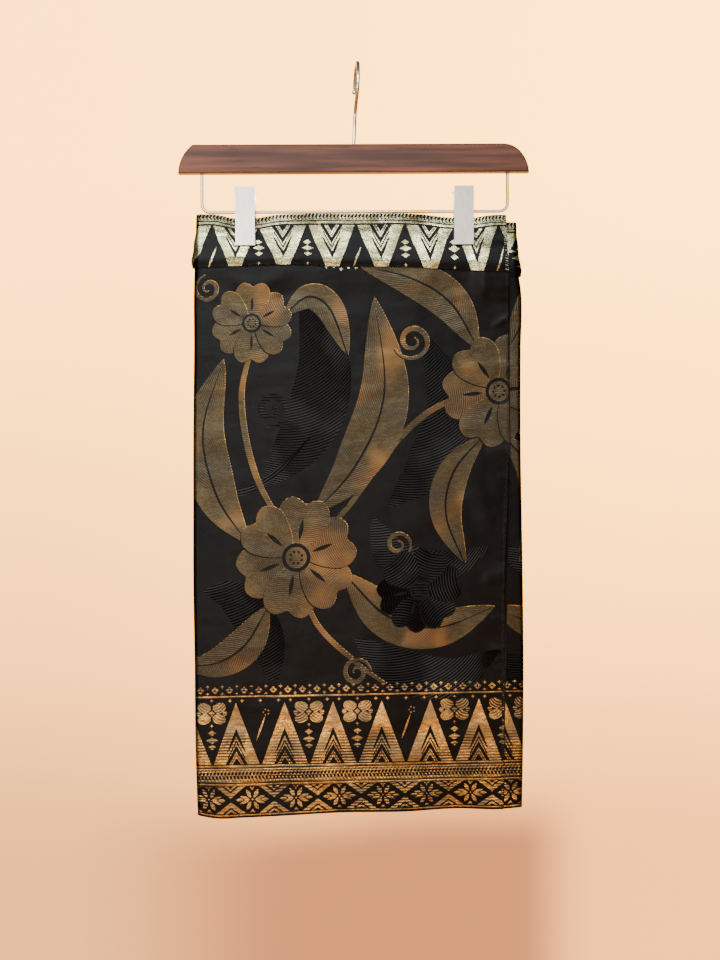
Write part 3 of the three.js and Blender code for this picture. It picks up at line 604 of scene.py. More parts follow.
def blade(points, width, swell_at=0.45, low=0.0, high=1.0, side=0):
    """A leaf or ribbon along a spine; side 1 or -1 gives only that half."""
    line = spine(points)
    run = run_along(line)
    t = run / run[-1]
    tangent = np.gradient(line, axis=0)
    across = np.stack([-tangent[:, 1], tangent[:, 0]], axis=1) / np.hypot(*tangent.T)[:, None]
    warped = np.where(t < swell_at, 0.5 * t / swell_at, 0.5 + 0.5 * (t - swell_at) / (1 - swell_at))
    half = (low + (high - low) * np.sin(math.pi * warped) ** 0.8) * width / 2
    left = line + across * half[:, None] * (side >= 0)
    right = line - across * half[:, None] * (side <= 0)
    return np.vstack([left, right[::-1]])


def curl(middle, radius, start, turns, width):
    """A tendril that winds in to a small bead."""
    steps = int(26 * turns)
    outer, inner = [], []
    for i in range(steps + 1):
        t = i / steps
        angle = start + turns * 2 * math.pi * t
        r = radius * (1 - 0.82 * t)
        half = width / 2 * (0.35 + 0.65 * math.sin(math.pi * min(t * 1.15, 1)))
        outer.append(around(middle, r + half, angle))
        inner.append(around(middle, r - half, angle))
    return outer + inner[::-1]


PETALS = 6
PETAL_WIDE = 0.86
PETAL = [
    # outwards and sideways, as shares of the reach and the width: one side, then the dipped tip
    (0.1, 0.0), (0.22, 0.2), (0.42, 0.38), (0.66, 0.5), (0.86, 0.46), (0.98, 0.3), (0.96, 0.13), (0.9, 0.0),
]


def petal(middle, reach, turn):
    outline = PETAL + [(a, -b) for a, b in reversed(PETAL[1:-1])]
    width = reach * PETAL_WIDE
    c, s = math.cos(turn), math.sin(turn)
    points = [(reach * a * c - width * b * s, reach * a * s + width * b * c) for a, b in outline]
    return spine(polygon(middle, points + points[:1]), 3)[:-1]


def blossom(motifs, thread, middle, reach, turn):
    for i in range(PETALS):
        angle = turn + i * 2 * math.pi / PETALS
        painted_relief(motifs, petal(middle, reach, angle), thread, turn=angle + math.pi / 2, bend=0.012, middle=middle)
        base, tip = (around(middle, reach * share, angle) for share in (0.28, 0.66))
        motifs.add(lens(base, tip, reach * 0.07, 6), GROUND)
    motifs.add(oval(middle, reach * 0.24, reach * 0.24, steps=20), GROUND)
    motifs.add(oval(middle, reach * 0.18, reach * 0.18, steps=18), thread)
    for i in range(8):
        bead = around(middle, reach * 0.1, turn + i * math.pi / 4)
        motifs.add(oval(bead, reach * 0.025, reach * 0.025, steps=6), GROUND)


def painted_relief(motifs, points, thread, **ribs):
    """A large figure with a painted shade line on its lower left and a painted highlight line on its upper
    right.
    """
    points = np.asarray(points, float)
    # painted shade: a dark copy of the outline, showing past its lower left
    motifs.add(points + (0.8, 0.9), EDGE_AND_PAINTED_SHADE)
    # painted highlight: a lighter copy, border gold under gold and satin under tonal black, showing past its
    # upper right
    motifs.add(points - (0.3, 0.4), BORDER_GOLD if thread == GOLD else GROUND)
    motifs.add(points, thread, **ribs)


def split_leaf(motifs, points, width):
    """A leaf in two halves, parted by its dark midrib."""
    heading = np.array(points[-1], float) - np.array(points[0], float)
    turn = math.atan2(heading[1], heading[0])
    for side in (-1, 1):
        painted_relief(motifs, blade(points, width, side=side), GOLD, turn=turn + side * 0.7, bend=0.004 * side)
    motifs.add(blade(points, 2.2, swell_at=0.3), GROUND)


TONAL_BLADES = [
    # width, spine
    (58, [(246, 316), (200, 256), (184, 190), (206, 112)]),
    (52, [(118, 334), (82, 296), (58, 236), (84, 160)]),
    (44, [(152, 466), (104, 498), (54, 506), (4, 480)]),
    (42, [(304, 416), (272, 424), (242, 462), (232, 512)]),
    (42, [(134, 344), (112, 384), (72, 398), (16, 376)]),
    (7, [(320, 300), (276, 320), (232, 300), (196, 262)]),
]
GOLD_STEMS = [
    (6, [(254, 166), (266, 226), (252, 300), (216, 366)]),
    (6, [(10, 222), (64, 230), (112, 268), (160, 336), (200, 374)]),
    (5, [(206, 400), (190, 450), (150, 490), (120, 512)]),
]
GOLD_LEAVES = [
    (52, [(192, 340), (152, 292), (124, 220), (134, 124)]),
    (46, [(162, 400), (118, 444), (66, 456), (10, 436)]),
    (46, [(258, 370), (290, 322), (304, 258), (284, 186)]),
    (36, [(238, 432), (262, 470), (292, 488), (326, 490)]),
    (40, [(30, 176), (58, 130), (96, 106), (150, 92)]),
    (28, [(224, 142), (200, 124), (178, 136), (160, 182)]),
    (34, [(26, 262), (54, 298), (60, 342), (40, 392)]),
]
BLOSSOMS = [
    # thread, middle, reach, turn
    (TONAL, (86, 418), 42, 0.2),
    (GOLD, (210, 384), 60, 0.35),
    (GOLD, (10, 218), 56, 0.1),
    (GOLD, (256, 150), 40, 0.5),
]
CURLS = [
    # thread, middle, radius, start, turns, width
    (GOLD, (96, 168), 19, 0.4, 1.6, 5),
    (GOLD, (150, 500), 15, 3.3, 1.5, 4.5),
    (GOLD, (300, 116), 14, 5.0, 1.5, 4),
    (TONAL, (236, 236), 18, 1.2, 1.5, 6),
    (GOLD, (108, 372), 14, 2.2, 1.4, 4),
]
FIELD_REPEAT = 345
PEEK_V = 10.3
PEEK_DROP = 6.3


def field(motifs, shift, mirror):
    """The garden design once, shifted along the cloth and, where asked, turned left to right."""
    def placed(point):
        s, v = point
        return (shift + (FIELD_REPEAT - s if mirror else s), v)

    for width, points in TONAL_BLADES:
        motifs.add(blade([placed(p) for p in points], width), TONAL, turn=0.4, bend=0.006)
    for width, points in GOLD_STEMS:
        painted_relief(motifs, blade([placed(p) for p in points], width, low=0.55), GOLD, bend=0.003)
    for width, points in GOLD_LEAVES:
        split_leaf(motifs, [placed(p) for p in points], width)
    for thread, middle, *shape in CURLS:
        painted_relief(motifs, curl(placed(middle), *shape), thread)
    for thread, middle, reach, turn in BLOSSOMS:
        blossom(motifs, thread, placed(middle), reach, turn)


def body_motifs():
    motifs = Motifs()
    field(motifs, 0, False)
    field(motifs, FIELD_REPEAT, True)
    row_v = BODY_V + PEEK_V
    small_row(motifs, lambda s: row_v + PEEK_DROP * math.exp(-((s - 165) / 25) ** 2), WAIST_GOLD)
    hem_border(motifs)
    return motifs


# Meshes

def new_piece(name, data):
    piece = bpy.data.objects.new(name, data)
    bpy.context.scene.collection.objects.link(piece)
    return piece


def smoothed(mesh):
    mesh.shade_smooth()
    mesh.set_sharp_from_angle(angle=math.radians(50))


def add_uv(mesh, layer, values):
    mesh.uv_layers.new(name=layer).data.foreach_set("uv", (values.reshape(-1) * MM).astype(np.float32))


def normals(across, down):
    normal = np.cross(across, down)
    return normal / np.linalg.norm(normal, axis=1)[:, None]


def clip_polygon(points, low, high):
    """The part of an outline inside a rectangle."""
    for axis in (0, 1):
        for limit, sign in ((low[axis], 1), (high[axis], -1)):
            kept = []
            for a, b in zip(points, np.roll(points, -1, axis=0)):
                inside_a = sign * (a[axis] - limit) >= 0
                inside_b = sign * (b[axis] - limit) >= 0
                if inside_a:
                    kept.append(a)
                if inside_a != inside_b:
                    kept.append(a + (b - a) * (limit - a[axis]) / (b[axis] - a[axis]))
            points = np.array(kept)
            if len(points) < 3:
                return None
    return points


def stepped(points, step):
    """The outline with points added, so that no side is longer than the step."""
    found = []
    for a, b in zip(points, np.roll(points, -1, axis=0)):
        count = max(1, math.ceil(np.hypot(*(b - a)) / step))
        found.extend(a + (b - a) * i / count for i in range(count))
    return found


def woven_mesh(s_lines, v_lines, motifs, step):
    """Triangulates a rectangle of cloth with the outlines let in: points, triangles, and each one's motif."""
    low = np.array([s_lines[0], v_lines[0]])
    high = np.array([s_lines[-1], v_lines[-1]])
    grid = [Vector((s, v)) for s in s_lines for v in v_lines]
    loops, owners = [], []
    for number, row in enumerate(motifs.rows):
        points = row[0]
        if np.any(points.max(axis=0) < low) or np.any(points.min(axis=0) > high):
            continue
        clipped = clip_polygon(points, low, high)
        if clipped is None or outline_area(clipped) < 0.1:
            continue
        start = len(grid)
        grid.extend(Vector(p) for p in stepped(clipped, step))
        loops.append(list(range(start, len(grid))))
        owners.append(number)
    points, _, faces, _, _, origins = delaunay_2d_cdt(grid, [], loops, 0, 1e-4, True)
    flat = np.array([(p.x, p.y) for p in points])
    owner = np.array([owners[max(o)] if o else -1 for o in origins])
    return flat, np.array(faces), owner


def rib_coordinates(flat, faces, owner, motifs):
    """For each corner: how far along and across its motif's ribs it lies."""
    corners = flat[faces]
    ribs = corners.copy()
    for number in np.unique(owner[owner >= 0]):
        _, _, turn, bend, middle = motifs.rows[number]
        chosen = owner == number
        local = corners[chosen] - middle
        along = local[..., 0] * math.cos(turn) + local[..., 1] * math.sin(turn)
        across = -local[..., 0] * math.sin(turn) + local[..., 1] * math.cos(turn)
        ribs[chosen] = np.stack([along, across + bend * along ** 2], axis=-1)
    return ribs


def cloth_piece(name, s_lines, v_lines, motifs, surface, step):
    flat, faces, owner = woven_mesh(s_lines, v_lines, motifs, step)
    s, v = flat[:, 0], flat[:, 1]
    middle = surface(s, v)
    across = surface(s + TINY, v) - surface(s - TINY, v)
    down = surface(s, v + TINY) - surface(s, v - TINY)
    half = normals(across, down) * THICK / 2
    count = len(flat)
    points = np.vstack([middle + half, middle - half]) * MM
    edges = np.vstack([faces[:, [0, 1]], faces[:, [1, 2]], faces[:, [2, 0]]])
    keys = np.sort(edges, axis=1) @ np.array([count, 1])
    _, first, times = np.unique(keys, return_index=True, return_counts=True)
    rim = edges[first[times == 1]]
    rim_faces = np.vstack([
        np.stack([rim[:, 1], rim[:, 0], rim[:, 0] + count], axis=1),
        np.stack([rim[:, 1], rim[:, 0] + count, rim[:, 1] + count], axis=1),
    ])
    triangles = np.vstack([faces, faces[:, ::-1] + count, rim_faces])
    mesh = bpy.data.meshes.new(name)
    mesh.from_pydata(points.tolist(), [], triangles.tolist())
    threads = np.array([motifs.rows[o][1] if o >= 0 else GROUND for o in owner])
    slots = np.concatenate([threads, threads, np.full(len(rim_faces), EDGE_AND_PAINTED_SHADE)])
    mesh.polygons.foreach_set("material_index", slots.astype(np.int32))
    both = np.vstack([flat, flat])
    ribs = rib_coordinates(flat, faces, owner, motifs)
    add_uv(mesh, "cloth", both[triangles])
    add_uv(mesh, "ribs", np.vstack([ribs, ribs[:, ::-1], both[rim_faces]]))
    for material in CLOTH_MATERIALS:
        mesh.materials.append(material)
    smoothed(mesh)
    return new_piece(name, mesh)


def lines(start, end, pitch, dense=(), dense_pitch=None):
    """Grid lines from start to end, closer together inside each dense stretch."""
    found = [start]
    while found[-1] < end - 0.3 * pitch:
        here = found[-1]
        close = any(low - pitch <= here <= high for low, high in dense)
        found.append(min(here + (dense_pitch if close else pitch), end))
    found[-1] = end
    return found


# Materials

class Nodes:
    """Short calls that add nodes to a material."""

    def __init__(self, name):
        self.material = bpy.data.materials.new(name)
        self.material.use_nodes = True
        self.tree = self.material.node_tree
        self.shader = self.tree.nodes["Principled BSDF"]
        self.place = self.add("ShaderNodeTexCoord").outputs["Object"]

    def add(self, kind, **settings):
        node = self.tree.nodes.new(kind)
        for key, value in settings.items():
            setattr(node, key, value)
        return node

    def feed(self, socket, value):
        if isinstance(value, bpy.types.NodeSocket):
            self.tree.links.new(value, socket)
        else:
            socket.default_value = value

    def math(self, operation, a, b=0.0, c=0.0):
        node = self.add("ShaderNodeMath", operation=operation)
        for socket, value in zip(node.inputs, (a, b, c)):
            self.feed(socket, value)
        return node.outputs[0]

    def times(self, a, b, plus=0.0):
        return self.math("MULTIPLY_ADD", a, b, plus)

    def spread(self, value, low, high, to_low=0.0, to_high=1.0):
        node = self.add("ShaderNodeMapRange", interpolation_type="SMOOTHSTEP")
        for socket, item in zip(node.inputs, (value, low, high, to_low, to_high)):
            self.feed(socket, item)
        return node.outputs[0]

    def mix(self, share, a, b):
        node = self.add("ShaderNodeMix", data_type="RGBA")
        self.feed(node.inputs[0], share)
        self.feed(node.inputs[6], a)
        self.feed(node.inputs[7], b)
        return node.outputs[2]

    def axes(self, vector):
        split = self.add("ShaderNodeSeparateXYZ")
        self.feed(split.inputs[0], vector)
        return split.outputs

    def uv(self, layer):
        return self.axes(self.add("ShaderNodeUVMap", uv_map=layer).outputs[0])

    def noise(self, scale, detail=2.0, stretch=None):
        vector = self.place
        if stretch:
            mapping = self.add("ShaderNodeMapping")
            self.feed(mapping.inputs[0], vector)
            mapping.inputs[3].default_value = stretch
            vector = mapping.outputs[0]
        node = self.add("ShaderNodeTexNoise")
        self.feed(node.inputs["Vector"], vector)
        node.inputs["Scale"].default_value = scale
        node.inputs["Detail"].default_value = detail
        return node.outputs[0]

    def wave(self, value, pitch):
        """From 0 to 1 and back over each pitch."""
        turned = self.times(value, 2 * math.pi / pitch)
        return self.times(self.math("COSINE", turned), 0.5, 0.5)

    def bump(self, height, strength, distance):
        node = self.add("ShaderNodeBump")
        node.inputs["Strength"].default_value = strength
        node.inputs["Distance"].default_value = distance
        self.feed(node.inputs["Height"], height)
        self.feed(self.shader.inputs["Normal"], node.outputs[0])

    def set(self, **values):
        for key, value in values.items():
            self.feed(self.shader.inputs[key.replace("_", " ")], value)
        return self.material


def rgb(red, green, blue, share=1):
    """A colour at full cover, darkened or lightened by a share."""
    return (red * share, green * share, blue * share, 1.0)


def ground_cloth(name, base, roughness, rib_pitch, rib_depth, gloss, painted_glint_colour=None):
    """Black weft satin: faint slubs, soft ruffles, ribs where a tonal figure is woven, and a painted warm
    reflection of the floor lower down the cloth; where a glint colour is given, painted glints on the ribs.
    """
    n = Nodes(name)
    s, v, _ = n.uv("cloth")
    _, across, _ = n.uv("ribs")
    slub = n.noise(60, 3, (0.2, 1, 1))
    grain = n.noise(1400, 2)
    cloudy = n.noise(9, 2)
    ruffle = n.noise(34, 2, (0.6, 1, 1.3))
    lighter = rgb(*base, 1.7)
    painted_warm_reflection = rgb(1.6 * base[0], 1.1 * base[1], 0.7 * base[2])
    tone = n.times(slub, 0.6, n.times(grain, 0.4))
    colour = n.mix(n.spread(tone, 0.35, 0.7), rgb(*base), lighter)
    # painted reflection: the satin turns warmer down the cloth, as if it reflected the warm floor
    colour = n.mix(n.spread(v, 0.25, 0.6), colour, painted_warm_reflection)
    rib = n.wave(across, rib_pitch * MM)
    if painted_glint_colour:
        # painted glints: lighter rib lines in cloudy patches
        painted_glint = n.spread(n.noise(15, 2), 0.46, 0.62, 0.1, 1.0)
        colour = n.mix(n.times(n.spread(rib, 0.55, 0.95), painted_glint), colour, rgb(*painted_glint_colour))
    twill = n.wave(n.math("ADD", s, v), 1.1 * MM)
    fine = n.times(grain, 0.5, n.times(twill, 0.25))
    height = n.times(rib, rib_depth, fine)
    height = n.times(ruffle, 9.0, height)
    n.bump(height, 0.4, 0.0004)
    rough = n.times(cloudy, 0.12, roughness - 0.06)
    return n.set(Base_Color=colour, Roughness=rough, Specular_IOR_Level=gloss)


def gold_thread(name, tones, roughness, rib_pitch, groove, sheen_patches, ruffled, plain_v=None):
    """Metal thread: bright floats with a dark binding groove at each rib; a speckle of bright and dull thread
    that is partly the thread's own and partly painted glints; and broad patches of painted sheen.
    """
    n = Nodes(name)
    bright, dull, painted_sheen_tone = tones
    sheen_scale, sheen_from, sheen_to, sheen_share = sheen_patches
    along, across, _ = n.uv("ribs")
    _, v, _ = n.uv("cloth")
    uneven = n.noise(21, 2)
    painted_sheen_patch = n.noise(sheen_scale, 1)
    ruffle = n.noise(34, 2, (0.6, 1, 1.3))
    speckle = n.noise(900, 3)
    grain = n.noise(420, 2, (0.35, 1, 1))
    wobble = n.times(n.noise(120, 1), 0.0009, across)
    rib = n.wave(wobble, rib_pitch * MM)
    depth = n.spread(uneven, 0.36, 0.6, groove * 0.3, groove)
    if plain_v:
        depth = n.times(depth, n.spread(v, plain_v[0] * MM, plain_v[1] * MM))
    dark = n.times(n.spread(rib, 0.78, 0.3), depth)
    # partly the thread's own speckle, partly painted glints: the colour jumps between a dull and a bright tone
    tone = n.times(speckle, 0.65, n.times(grain, 0.35))
    body = n.mix(n.spread(tone, 0.4, 0.67), rgb(*dull), rgb(*bright))
    # painted sheen: broad patches of a third tone, orange glints on the body gold and dull darker patches on
    # the waist and border gold
    body = n.mix(n.spread(painted_sheen_patch, sheen_from, sheen_to, 0, sheen_share), body, rgb(*painted_sheen_tone))
    colour = n.mix(dark, body, rgb(*dull, 0.05))
    threads = n.wave(along, 0.9 * MM)
    height = n.times(rib, depth)
    height = n.times(threads, 0.2, n.times(speckle, 0.8, height))
    height = n.times(ruffle, ruffled, height)
    n.bump(height, 0.45, 0.0004)
    rough = n.times(speckle, 0.2, roughness - 0.1)
    metallic = n.times(dark, -0.6, 0.95)
    return n.set(Base_Color=colour, Roughness=rough, Metallic=metallic)


def walnut(name):
    n = Nodes(name)
    flow = n.noise(26, 4, (0.1, 1, 1))
    bands = n.noise(150, 5, (0.05, 1, 1))
    pores = n.noise(900, 2, (0.05, 1, 1))
    tone = n.times(bands, 0.55, n.times(flow, 0.55))
    colour = n.mix(n.spread(tone, 0.4, 0.68), rgb(0.075, 0.028, 0.018), rgb(0.27, 0.095, 0.055))
    colour = n.mix(n.spread(pores, 0.6, 0.74, 0, 0.6), colour, rgb(0.04, 0.015, 0.01))
    n.bump(n.math("ADD", pores, bands), 0.12, 0.0003)
    rough = n.times(flow, 0.15, 0.34)
    return n.set(Base_Color=colour, Roughness=rough, Specular_IOR_Level=0.22)


def metal(name, base, roughness, grain_stretch, grain_depth):
    n = Nodes(name)
    brushed = n.noise(700, 3, grain_stretch)
    smudge = n.noise(40, 2)
    colour = n.mix(n.spread(brushed, 0.3, 0.7), rgb(*base, 0.86), rgb(*base))
    n.bump(brushed, grain_depth, 0.0002)
    rough = n.times(smudge, 0.12, roughness - 0.06)
    return n.set(Base_Color=colour, Roughness=rough, Metallic=1.0)


def sewing_thread(name, low, high):
    n = Nodes(name)
    tone = n.noise(420, 1)
    fuzz = n.noise(2600, 2)
    n.bump(fuzz, 0.4, 0.0002)
    colour = n.mix(n.spread(tone, 0.4, 0.6), rgb(*low), rgb(*high))
    return n.set(Base_Color=colour, Roughness=n.times(fuzz, 0.2, 0.5), Specular_IOR_Level=0.3)


def rubber(name):
    n = Nodes(name)
    speck = n.noise(1200, 2)
    n.bump(speck, 0.3, 0.0003)
    colour = n.mix(speck, rgb(0.018, 0.018, 0.018), rgb(0.04, 0.04, 0.04))
    return n.set(Base_Color=colour, Roughness=n.times(speck, 0.2, 0.6))


SATIN = (0.0012, 0.0013, 0.0016)
TONAL_BLACK = (0.0004, 0.0003, 0.0003)
EDGE_BLACK = (0.002, 0.0016, 0.0015)
# Gold tones: bright, dull, then the tone of the painted sheen patches
BODY_TONES = [(0.093, 0.071, 0.036), (0.048, 0.036, 0.018), (0.25, 0.122, 0.04)]
WAIST_TONES = [(0.93, 0.93, 0.58), (0.2, 0.19, 0.085), (0.15, 0.13, 0.06)]
BORDER_TONES = [(0.98, 0.58, 0.155), (0.22, 0.115, 0.034), (0.16, 0.115, 0.06)]
# Painted sheen patches: noise scale, where the noise starts and ends, and the sheen tone's largest share
BODY_SHEEN_PATCHES = (17, 0.48, 0.72, 0.6)
WAIST_SHEEN_PATCHES = (34, 0.42, 0.62, 0.75)
BORDER_SHEEN_PATCHES = (40, 0.42, 0.62, 0.75)
PLAIN_V = (HEM_V - BORDER_BASE - 40, HEM_V - BORDER_BASE - 22)

# Black edge cloth, also used for painted shade lines
edge = ground_cloth("black_edge_and_painted_shade", EDGE_BLACK, 0.6, 0.9, 0.4, 0.12)
CLOTH_MATERIALS = [
    # in the order of the threads
    ground_cloth("black_satin", SATIN, 0.34, 0.8, 0.2, 0.11),
    gold_thread("body_gold", BODY_TONES, 0.36, 2.1, 0.75, BODY_SHEEN_PATCHES, 14.0),
    # the last value is the colour of the tonal ribs' painted glints
    ground_cloth("tonal_ribs", TONAL_BLACK, 0.26, 2.8, 3.0, 0.06, (0.035, 0.036, 0.038)),
    gold_thread("waist_gold", WAIST_TONES, 0.26, 1.2, 0.3, WAIST_SHEEN_PATCHES, 12.0),
    gold_thread("border_gold", BORDER_TONES, 0.34, 2.7, 1.0, BORDER_SHEEN_PATCHES, 14.0),
    gold_thread("shoot_gold", BORDER_TONES, 0.34, 2.9, 1.0, BORDER_SHEEN_PATCHES, 14.0, PLAIN_V),
    edge,
]
wood = walnut("walnut")
wire_metal = metal("polished_wire", (0.98, 0.95, 0.9), 0.34, None, 0.0)
plate_metal = metal("satin_plate", (0.96, 0.94, 0.89), 0.4, (1, 1, 0.05), 0.03)
pad_rubber = rubber("pad_rubber")
thread_pale = sewing_thread("thread_pale", (0.02, 0.02, 0.018), (0.62, 0.62, 0.5))
thread_dark = sewing_thread("thread_dark", (0.004, 0.004, 0.004), (0.03, 0.028, 0.026))


# The cloth's pieces

HIDDEN_LAYERS = 5
STRETCHES = {
    # flat width and height in metres
    "flap": (0.346, 0.565),
    "back": (0.270, 0.565),
    "under": (0.068, 0.565),
}


def finish_cloth(piece, node):
    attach(piece, "root")
    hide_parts(node)


def cloth_v_lines():
    puckered = []
    for z, tall, *_ in PUCKERS:
        middle = BODY_V - z + TUCK_TOP_Z
        puckered.append((middle - tall * 0.5, middle + tall * 0.5))
    return lines(BODY_V, HEM_V, 3.4, puckered, 2.4)


def make_cloth():
    body = body_motifs()
    waist = waist_border()
    s_lines = {
        "flap": lines(0, LEFT_END + SEAM, 3.4, [(0, 28), (FRONT - 2, LEFT_END + 2)], 1.5),
        "back": lines(LEFT_END + SEAM, RIGHT_START - SEAM, 3.6),
        "under": lines(RIGHT_START - SEAM, CLOTH_END, 3, [(RIGHT_START, RIGHT_END)], 1.2),
    }
    for name, flat in STRETCHES.items():
        piece = cloth_piece(f"{name}_cloth", s_lines[name], cloth_v_lines(), body, body_surface, 3.0)
        finish_cloth(piece, f"{name}_body")
    for name, flat in STRETCHES.items():
        section = UNDER_SECTION if name == "under" else FLAP_SECTION
        surface, low, high = band_surface(band_path(*section))
        v_lines = lines(low, high, 2.4, [(-2, 3), (50, 58)], 0.8)
        piece = cloth_piece(f"{name}_waist", s_lines[name], v_lines, waist, surface, 1.4)
        finish_cloth(piece, f"{name}_band")


def tube_rings(path, radius, sides):
    """Corner rows of a thin tube along each path; the array holds paths, points, then x, y and z."""
    tangent = np.gradient(path, axis=1)
    tangent /= np.linalg.norm(tangent, axis=2)[..., None]
    up = np.cross(tangent, (0.15, 0.2, 1))
    up /= np.linalg.norm(up, axis=2)[..., None]
    side = np.cross(tangent, up)
    turns = (np.arange(sides) * 2 * math.pi / sides)[:, None]
    ring = up[:, :, None] * np.cos(turns) + side[:, :, None] * np.sin(turns)
    return path[:, :, None] + radius * ring


STITCH = [
    # s, v past the level, outwards from the cloth, past its edge
    (2.7, -0.3, 0.32, 0), (1.3, 0.2, 0.6, 0), (0, 0.5, 0.5, 0.2), (0, 0.7, 0, 0.55), (0, 0.9, -0.5, 0.2),
    (1.6, 1.1, -0.45, 0),
]
STITCH_PITCH = 2.1
STITCH_RADIUS = 0.34


def stitches(surface, levels):
    """Overlocked threads that wrap the flap's free edge at each level of the cloth."""
    path = []
    for s, dv, lift, past in STITCH:
        s = np.full_like(levels, s)
        at = surface(s, levels + dv)
        across = surface(s + TINY, levels + dv) - at
        normal = normals(across, surface(s, levels + dv + TINY) - at)
        outward = -across / np.linalg.norm(across, axis=1)[:, None]
        path.append(at + normal * lift + outward * past)
    return np.stack(path, axis=1)


def make_stitches():
    waist_surface, _, _ = band_surface(band_path(*FLAP_SECTION))
    body_levels = np.arange(BODY_V + 21, HEM_V - 1, STITCH_PITCH)
    rows = (stitches(waist_surface, np.arange(1, 54, STITCH_PITCH)), stitches(body_surface, body_levels))
    points, faces, kinds = [], [], []
    sides = 5
    for kind, path in enumerate(rows):
        rings = tube_rings(path, STITCH_RADIUS, sides)
        count, length = rings.shape[:2]
        start = sum(len(p) for p in points)
        points.append(rings.reshape(-1, 3))
        for k in range(count):
            base = start + k * length * sides
            for j in range(length - 1):
                for i in range(sides):
                    a, b = base + j * sides + i, base + j * sides + (i + 1) % sides
                    faces.append((a, b, b + sides, a + sides))
            faces.append(tuple(base + i for i in reversed(range(sides))))
            faces.append(tuple(base + (length - 1) * sides + i for i in range(sides)))
            kinds += [kind] * (sides * (length - 1) + 2)
    mesh = bpy.data.meshes.new("edge_stitching")
    mesh.from_pydata((np.vstack(points) * MM).tolist(), [], faces)
    mesh.materials.append(thread_pale)
    mesh.materials.append(thread_dark)
    mesh.polygons.foreach_set("material_index", np.array(kinds, np.int32))
    mesh.shade_smooth()
    finish_cloth(new_piece("edge_stitching", mesh), "flap_body")


INNER_ROWS = [
    FLAP_TOP_Z - 3.2, -160, -170, -174, -185, -205, -222, -240, -330, -450, -580, -680, -735, HEM_LEVEL,
]
INNER_COLUMNS = 80
LAYER_HALF = 0.26


def inner_row(layer, z_row, face):
    """One row of a hidden layer's corners, from the left fold to the right one."""
    shares = np.linspace(0, 1, INNER_COLUMNS)
    z = np.full_like(shares, z_row)
    left = left_plan(z)[1] - 0.5
    x = left + (right_plan(z)[1] - left) * shares
    past_flap = x - table(OUTLINE, FLAP, z)
    level = z + (hem_drop(x, z) if z_row < -300 else waist_drop(x, z))
    uneven = 0.5 * (layer * 2 % 3)
    if z_row == HEM_LEVEL:
        level = level + 1.2 + uneven + 0.4 * np.sin(x * 0.05 + layer)
    if z_row == INNER_ROWS[0]:
        level = level - uneven - 7 * smooth(-24, -14, past_flap)
    reach = 1.5 + 1.2 * smooth(-172, -176, z) + waist_swell(z)
    share = (layer + 0.5) / HIDDEN_LAYERS * 2 - 1
    inset = np.where(past_flap > -20, 0.75, 1)
    wave = 0.12 * np.sin(x * 0.09 + 2 * layer)
    y = share * reach * inset + (1 - inset) * 1.2 + wave + face * LAYER_HALF
    return np.stack([x, y, level], axis=1).tolist()


def make_inner():
    """The hidden turns of the roll: flat layers that show only at the top and bottom edges."""
    wide, tall = INNER_COLUMNS, len(INNER_ROWS)
    total = tall * wide
    ring = list(range(wide))
    ring += [j * wide + wide - 1 for j in range(1, tall)]
    ring += [(tall - 1) * wide + i for i in range(wide - 2, -1, -1)]
    ring += [j * wide for j in range(tall - 2, 0, -1)]
    points, faces = [], []
    for layer in range(HIDDEN_LAYERS):
        for face in (-1, 1):
            start = len(points)
            for z_row in INNER_ROWS:
                points += inner_row(layer, z_row, face)
            for j in range(tall - 1):
                for a in range(start + j * wide, start + (j + 1) * wide - 1):
                    quad = [a, a + 1, a + 1 + wide, a + wide]
                    faces.append(quad if face > 0 else quad[::-1])
        front, back = len(points) - 2 * total, len(points) - total
        for a, b in zip(ring, ring[1:] + ring[:1]):
            faces.append([front + b, front + a, back + a, back + b])
    mesh = bpy.data.meshes.new("inner_turns")
    mesh.from_pydata((np.array(points) * MM).tolist(), [], faces)
    index = np.zeros(len(mesh.loops), np.int32)
    mesh.loops.foreach_get("vertex_index", index)
    flat_points = np.array(points)[:, [0, 2]]
    add_uv(mesh, "cloth", flat_points[index])
    add_uv(mesh, "ribs", flat_points[index])
    mesh.materials.append(edge)
    smoothed(mesh)
    finish_cloth(new_piece("inner_turns", mesh), "inner_layers")


def dress_hanger():
    materials = {"hanger_bar": wood, "hook": wire_metal, "wire_frame": wire_metal}
    for side in ("left", "right"):
        materials[f"clip_{side}_spring"] = wire_metal
        for face in ("front", "back"):
            materials[f"clip_{side}_{face}"] = plate_metal
            materials[f"clip_{side}_pad_{face}"] = pad_rubber
    for node, material in materials.items():
        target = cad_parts[node]
        target.data.materials.clear()
        target.data.materials.append(material)


# Stage, lights and camera, in metres

WALL_Y = 2.3
WALL_WIDE = 1.4
WALL_LOW_Z = -1.76
WALL_TOP_Z = 1.02
FLOOR_Z = -1.18
FLOOR_WIDE = 1.6
FLOOR_NEAR_Y = -2.6
FLOOR_EDGE_Y = 0.6
BACKDROP_X = (-0.88, 0.88)
